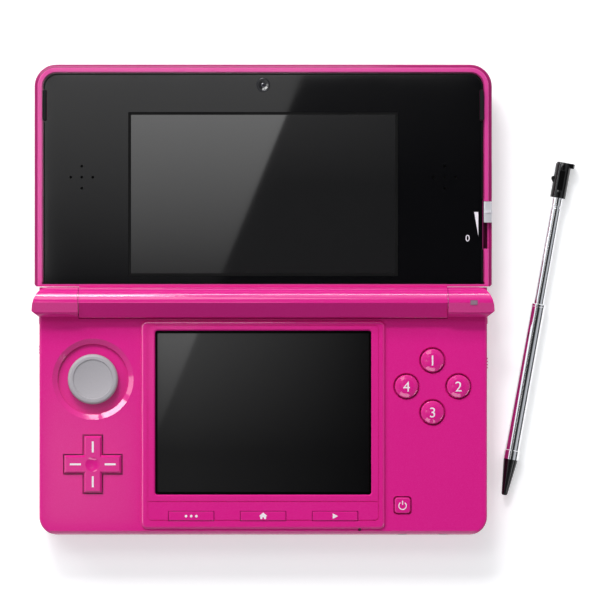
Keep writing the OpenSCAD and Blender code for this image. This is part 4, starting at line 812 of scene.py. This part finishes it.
# %% Camera
PIXELS_PER_MM = 3.44
PHOTO_SIDE = 600
MIDDLE_COLUMN, HINGE_ROW = 263.2, 302.5
SENSOR = 36
FRAME_WIDTH = PHOTO_SIDE / PIXELS_PER_MM * MM
LOOK_X = (PHOTO_SIDE / 2 - MIDDLE_COLUMN) / PIXELS_PER_MM * MM
LOOK_Y = HINGE_Y + (HINGE_ROW - PHOTO_SIDE / 2) / PIXELS_PER_MM * MM
DECK_HEIGHT = 12
LOOK_Z = DECK_HEIGHT * MM
CAMERA_HEIGHT = 1.3
camera_data = bpy.data.cameras.new("camera")
camera_data.sensor_width = SENSOR
camera_data.lens = SENSOR * CAMERA_HEIGHT / FRAME_WIDTH
camera = bpy.data.objects.new("camera", camera_data)
camera.location = (LOOK_X, LOOK_Y, LOOK_Z + CAMERA_HEIGHT)
bpy.context.scene.collection.objects.link(camera)
bpy.context.scene.camera = camera
print("lens:", round(camera_data.lens), "mm")

# %% [markdown]
# A white sweep lies under the console. It is a plain pale floor that keeps the shadow, and for the
# camera and for reflections a little light of its own is added, so that it reads as white. It lies a
# hair below the console, because two faces in one plane flicker where they meet.

# %% Floor
FLOOR_SIZE, FLOOR_GAP = 8, 0.05 * MM
FLOOR_GLOW = 0.42
half = FLOOR_SIZE / 2
mesh = bpy.data.meshes.new("floor")
mesh.from_pydata([(-half, -half, 0), (half, -half, 0), (half, half, 0), (-half, half, 0)],
                 [], [(0, 1, 2, 3)])
floor = bpy.data.objects.new("floor", mesh)
floor.location.z = -FLOOR_GAP
bpy.context.scene.collection.objects.link(floor)

WHITE, BLACK = (1, 1, 1, 1), (0, 0, 0, 1)
sweep = finish("sweep", (0.86, 0.86, 0.87, 1), 0.9, Specular_IOR_Level=0.1, Emission_Color=WHITE)
tree = sweep.node_tree
path = add(tree, "ShaderNodeLightPath")
seen = path.outputs["Is Camera Ray"]
for kind in ("Is Glossy Ray", "Is Transmission Ray"):
    either = add(tree, "ShaderNodeMath", operation="MAXIMUM")
    tree.links.new(seen, either.inputs[0])
    tree.links.new(path.outputs[kind], either.inputs[1])
    seen = either.outputs[0]
glow = add(tree, "ShaderNodeMath", operation="MULTIPLY")
glow.inputs[1].default_value = FLOOR_GLOW
tree.links.new(seen, glow.inputs[0])
tree.links.new(glow.outputs[0], shader_of(sweep).inputs["Emission Strength"])
floor.data.materials.append(sweep)
print("floor:", floor.name)

# %% [markdown]
# Lacquer mirrors the lamps, so each lamp is placed for a highlight in the photograph. A face that is
# tilted by some angle mirrors, straight up, what stands twice that angle from the vertical. No lamp is
# straight above: a flat black sheet mirrors what is over it, and it has to stay black.

# %% A helper that makes a soft box
LAMP_DISTANCE = 1.2
LAMPS_AIM_AT = (0, 30, 0)


def soft_box(name, width, depth, glow, azimuth, height):
    """A rectangular lamp, sizes in metres, angles in degrees; glow is its brightness when seen."""
    turn, lift = math.radians(azimuth), math.radians(height)
    way = Vector((math.cos(lift) * math.cos(turn), math.cos(lift) * math.sin(turn), math.sin(lift)))
    lamp = bpy.data.lights.new(name, "AREA")
    lamp.shape = "RECTANGLE"
    lamp.size, lamp.size_y = width, depth
    lamp.energy = glow * width * depth * math.pi
    piece = bpy.data.objects.new(name, lamp)
    piece.location = Vector(LAMPS_AIM_AT) * MM + LAMP_DISTANCE * way
    piece.rotation_euler = (-way).to_track_quat("-Z", "Y").to_euler()
    bpy.context.scene.collection.objects.link(piece)


print("lamps stand", LAMP_DISTANCE, "m away")

# %% [markdown]
# The bevel round the thumb pad is tilted by 31 degrees, so what it mirrors stands 28 degrees above the
# table: the long low boxes behind, at the left and at the right. The two at 40 degrees draw the bright
# line along the hinge barrel. The two at 60 degrees and more are for faces that lie nearly flat: a
# tilt of about 15 degrees mirrors them.

# %% Soft boxes
LAMPS = {
    # name: width, depth, glow, azimuth, height
    "low_box": (0.8, 0.14, 14.0, 130, 28),
    "left_box": (0.5, 0.14, 4.0, 174, 28),
    "back_box": (0.45, 0.14, 11.0, 92, 28),
    "back_strip": (0.36, 0.16, 30.0, 105, 40),
    "back_fill": (0.3, 0.16, 1.5, 82, 40),
    "high_box": (0.6, 0.3, 3.5, 115, 60),
    "right_box": (0.5, 0.14, 5.0, 327, 28),
    "front_box": (0.6, 0.1, 4.0, 262, 64),
}
for name, numbers in LAMPS.items():
    soft_box(name, *numbers)

# %% [markdown]
# The room itself gives the faint, even light that fills the shadows. In reflections it is pale at and
# above the horizon, nearly black overhead and brighter at the left than at the right, which is what a
# studio with a dark ceiling looks like. One strength serves the shadows and another the reflections,
# so that either can be changed without the other.

# %% Studio room
ROOM_COLOR = (0.92, 0.95, 1, 1)
ROOM_FILL = 0.27
ROOM_BANDS = ((0.0, 0.1), (0.38, 0.1), (0.5, 0.8), (0.8, 0.8), (0.93, 0.03), (1.0, 0.02))
ROOM_SIDES = {"From Min": -0.6, "From Max": 0.6, "To Min": 1.5, "To Max": 0.7}
world = bpy.data.worlds.new("studio")
world.use_nodes = True
tree = world.node_tree
room = tree.nodes["Background"]
room.inputs["Color"].default_value = ROOM_COLOR
place = add(tree, "ShaderNodeTexCoord")
split = add(tree, "ShaderNodeSeparateXYZ")
tree.links.new(place.outputs["Generated"], split.inputs[0])
band = add(tree, "ShaderNodeValToRGB")
ramp = band.color_ramp.elements
ramp.remove(ramp[0])
for index, (height, level) in enumerate(ROOM_BANDS):
    stop = ramp.new(height) if index else ramp[0]
    stop.position = height
    stop.color = (level, level, level, 1)
tree.links.new(split.outputs["Z"], band.inputs["Fac"])
sides = add(tree, "ShaderNodeMapRange", **ROOM_SIDES)
tree.links.new(split.outputs["X"], sides.inputs["Value"])
mirrored_room = add(tree, "ShaderNodeMath", operation="MULTIPLY")
tree.links.new(band.outputs["Color"], mirrored_room.inputs[0])
tree.links.new(sides.outputs["Result"], mirrored_room.inputs[1])
path = add(tree, "ShaderNodeLightPath")
choose = add(tree, "ShaderNodeMix", data_type="FLOAT")
choose.inputs[2].default_value = ROOM_FILL
tree.links.new(path.outputs["Is Glossy Ray"], choose.inputs["Factor"])
tree.links.new(mirrored_room.outputs[0], choose.inputs[3])
tree.links.new(choose.outputs[0], room.inputs["Strength"])
bpy.context.scene.world = world
bpy.context.scene.view_settings.view_transform = "Standard"
print("world:", world.name)

# %% [markdown]
# Black glass only looks like glass when something is mirrored in it. The photographer held a big white
# card over the left half of the console, and its straight edge runs across both screens. A mirror that
# lies flat shows each point of the card a fixed way off to the side, so the card can be drawn from the
# points of the glass where its edge should be seen.

# %% Where the card's edge is seen
CARD_HEIGHT = 0.6
EDGE_TOP = (11.6, 98.0)
EDGE_LOW = (-28.5, -0.5)
EDGE_SLOPE = (EDGE_TOP[0] - EDGE_LOW[0]) / (EDGE_TOP[1] - EDGE_LOW[1])


def mirrored(x, y):
    """The point of the card that is seen at (x, y) millimetres on the glass."""
    share = CARD_HEIGHT / CAMERA_HEIGHT
    return (x * MM + (x * MM - LOOK_X) * share, y * MM + (y * MM - LOOK_Y) * share, LOOK_Z + CARD_HEIGHT)


def edge_x(y):
    """Where the edge crosses the line at y on the glass."""
    return EDGE_LOW[0] + EDGE_SLOPE * (y - EDGE_LOW[1])


def edge_y(x):
    """Where the edge crosses the line at x on the glass."""
    return EDGE_LOW[1] + (x - EDGE_LOW[0]) / EDGE_SLOPE


def left_of_edge(left, low, high):
    return [(left, low), (edge_x(low), low), (edge_x(high), high), (left, high)]


def right_of_edge(right, low, high):
    return [(edge_x(low), low), (right, low), (right, high), (edge_x(high), high)]


print("the edge leans", round(math.degrees(math.atan(EDGE_SLOPE))), "degrees")

# %% [markdown]
# In the photograph the glare isn't even: it is strongest at one end of each screen and fades out. The
# paper of a card therefore glows by itself, and its glow fades along both axes. Fading the card keeps
# the glass a plain material that works in any light.

# %% Paper that fades


def card_paper(name, bright, across, up):
    """Glows by bright where both fades start; a fade is (start, end, what is left at the end)."""
    material = finish(name, BLACK, 0.5, Emission_Color=WHITE)
    tree = material.node_tree
    place = add(tree, "ShaderNodeTexCoord")
    split = add(tree, "ShaderNodeSeparateXYZ")
    tree.links.new(place.outputs["Object"], split.inputs[0])
    strength = add(tree, "ShaderNodeMath", operation="MULTIPLY")
    strength.inputs[1].default_value = bright
    both = add(tree, "ShaderNodeMath", operation="MULTIPLY")
    for axis, (start, end, left) in enumerate((across, up)):
        ends = {"From Min": mirrored(start, start)[axis], "From Max": mirrored(end, end)[axis]}
        fade = add(tree, "ShaderNodeMapRange", **ends, **{"To Min": 1.0, "To Max": left})
        tree.links.new(split.outputs["XY"[axis]], fade.inputs["Value"])
        tree.links.new(fade.outputs["Result"], both.inputs[axis])
    tree.links.new(both.outputs[0], strength.inputs[0])
    tree.links.new(strength.outputs[0], shader_of(material).inputs["Emission Strength"])
    return material


def glare_card(name, corners, paper):
    """A card that is seen in the glass with its corners at those points."""
    mesh = bpy.data.meshes.new(name)
    mesh.from_pydata([mirrored(*c) for c in corners], [], [list(range(len(corners)))])
    mesh.materials.append(paper)
    piece = bpy.data.objects.new(name, mesh)
    bpy.context.scene.collection.objects.link(piece)
    piece.visible_camera = piece.visible_diffuse = False
    piece.visible_shadow = piece.visible_transmission = False


print("paper and card helpers ready")

# %% [markdown]
# Each screen has a bright card left of the edge and a dim one right of it. Three more give the pale
# haze on the left of the deck and the light line on the rim of the lid. Only reflections see them: they
# throw no light on the console, cast no shadow, and the camera looks through them.

# %% Cards mirrored in the glass
STEADY = (0, 1, 1.0)    # a fade that takes nothing away
RIM, RIM_START = 1.8, 0.2
LEFT_RIM_FROM, LEFT_RIM_TO, TOP_RIM_REACH = 38, 97, 61
DECK_HAZE = bar(-64, -33, -36.6, 22)
lid_low, lid_high = box_mm("lid_panel")
touch_low, touch_high = box_mm("touch_panel")
meets = edge_y(touch_low.x)
below_edge = [(touch_low.x, touch_low.y), (touch_high.x, touch_low.y), (touch_high.x, touch_high.y),
              (edge_x(touch_high.y), touch_high.y), (touch_low.x, meets)]
left_rim = bar(lid_low.x - RIM, LEFT_RIM_FROM, lid_low.x - RIM_START, LEFT_RIM_TO)
top_rim = bar(-TOP_RIM_REACH, lid_high.y + RIM_START, TOP_RIM_REACH, lid_high.y + RIM)
CARDS = {
    # what it is over: corners on the glass, brightness, fade across, fade up
    "lid": (left_of_edge(lid_low.x, lid_low.y, lid_high.y), 1.2, STEADY, (96, 36, 0.08)),
    "lid_right": (right_of_edge(lid_high.x, lid_low.y, lid_high.y), 0.17, (10, 72, 0.2), (97, 66, 0.08)),
    "touch": (left_of_edge(touch_low.x, meets, touch_high.y), 2.2, STEADY, (22, meets, 0.2)),
    "touch_right": (below_edge, 1.0, (-22, 36, 0.0), (22, -12, 0.25)),
    "deck": (DECK_HAZE, 0.9, (-58, -34, 0.5), (-8, 20, 0.0)),
    "left_rim": (left_rim, 3.6, STEADY, (38, 98, 0.9)),
    "top_rim": (top_rim, 3.4, (10, 75, 0.1), STEADY),
}
for over, (corners, bright, across, up) in CARDS.items():
    glare_card("card_over_" + over, corners, card_paper("card_paper_" + over, bright, across, up))
print("cards:", len(CARDS))
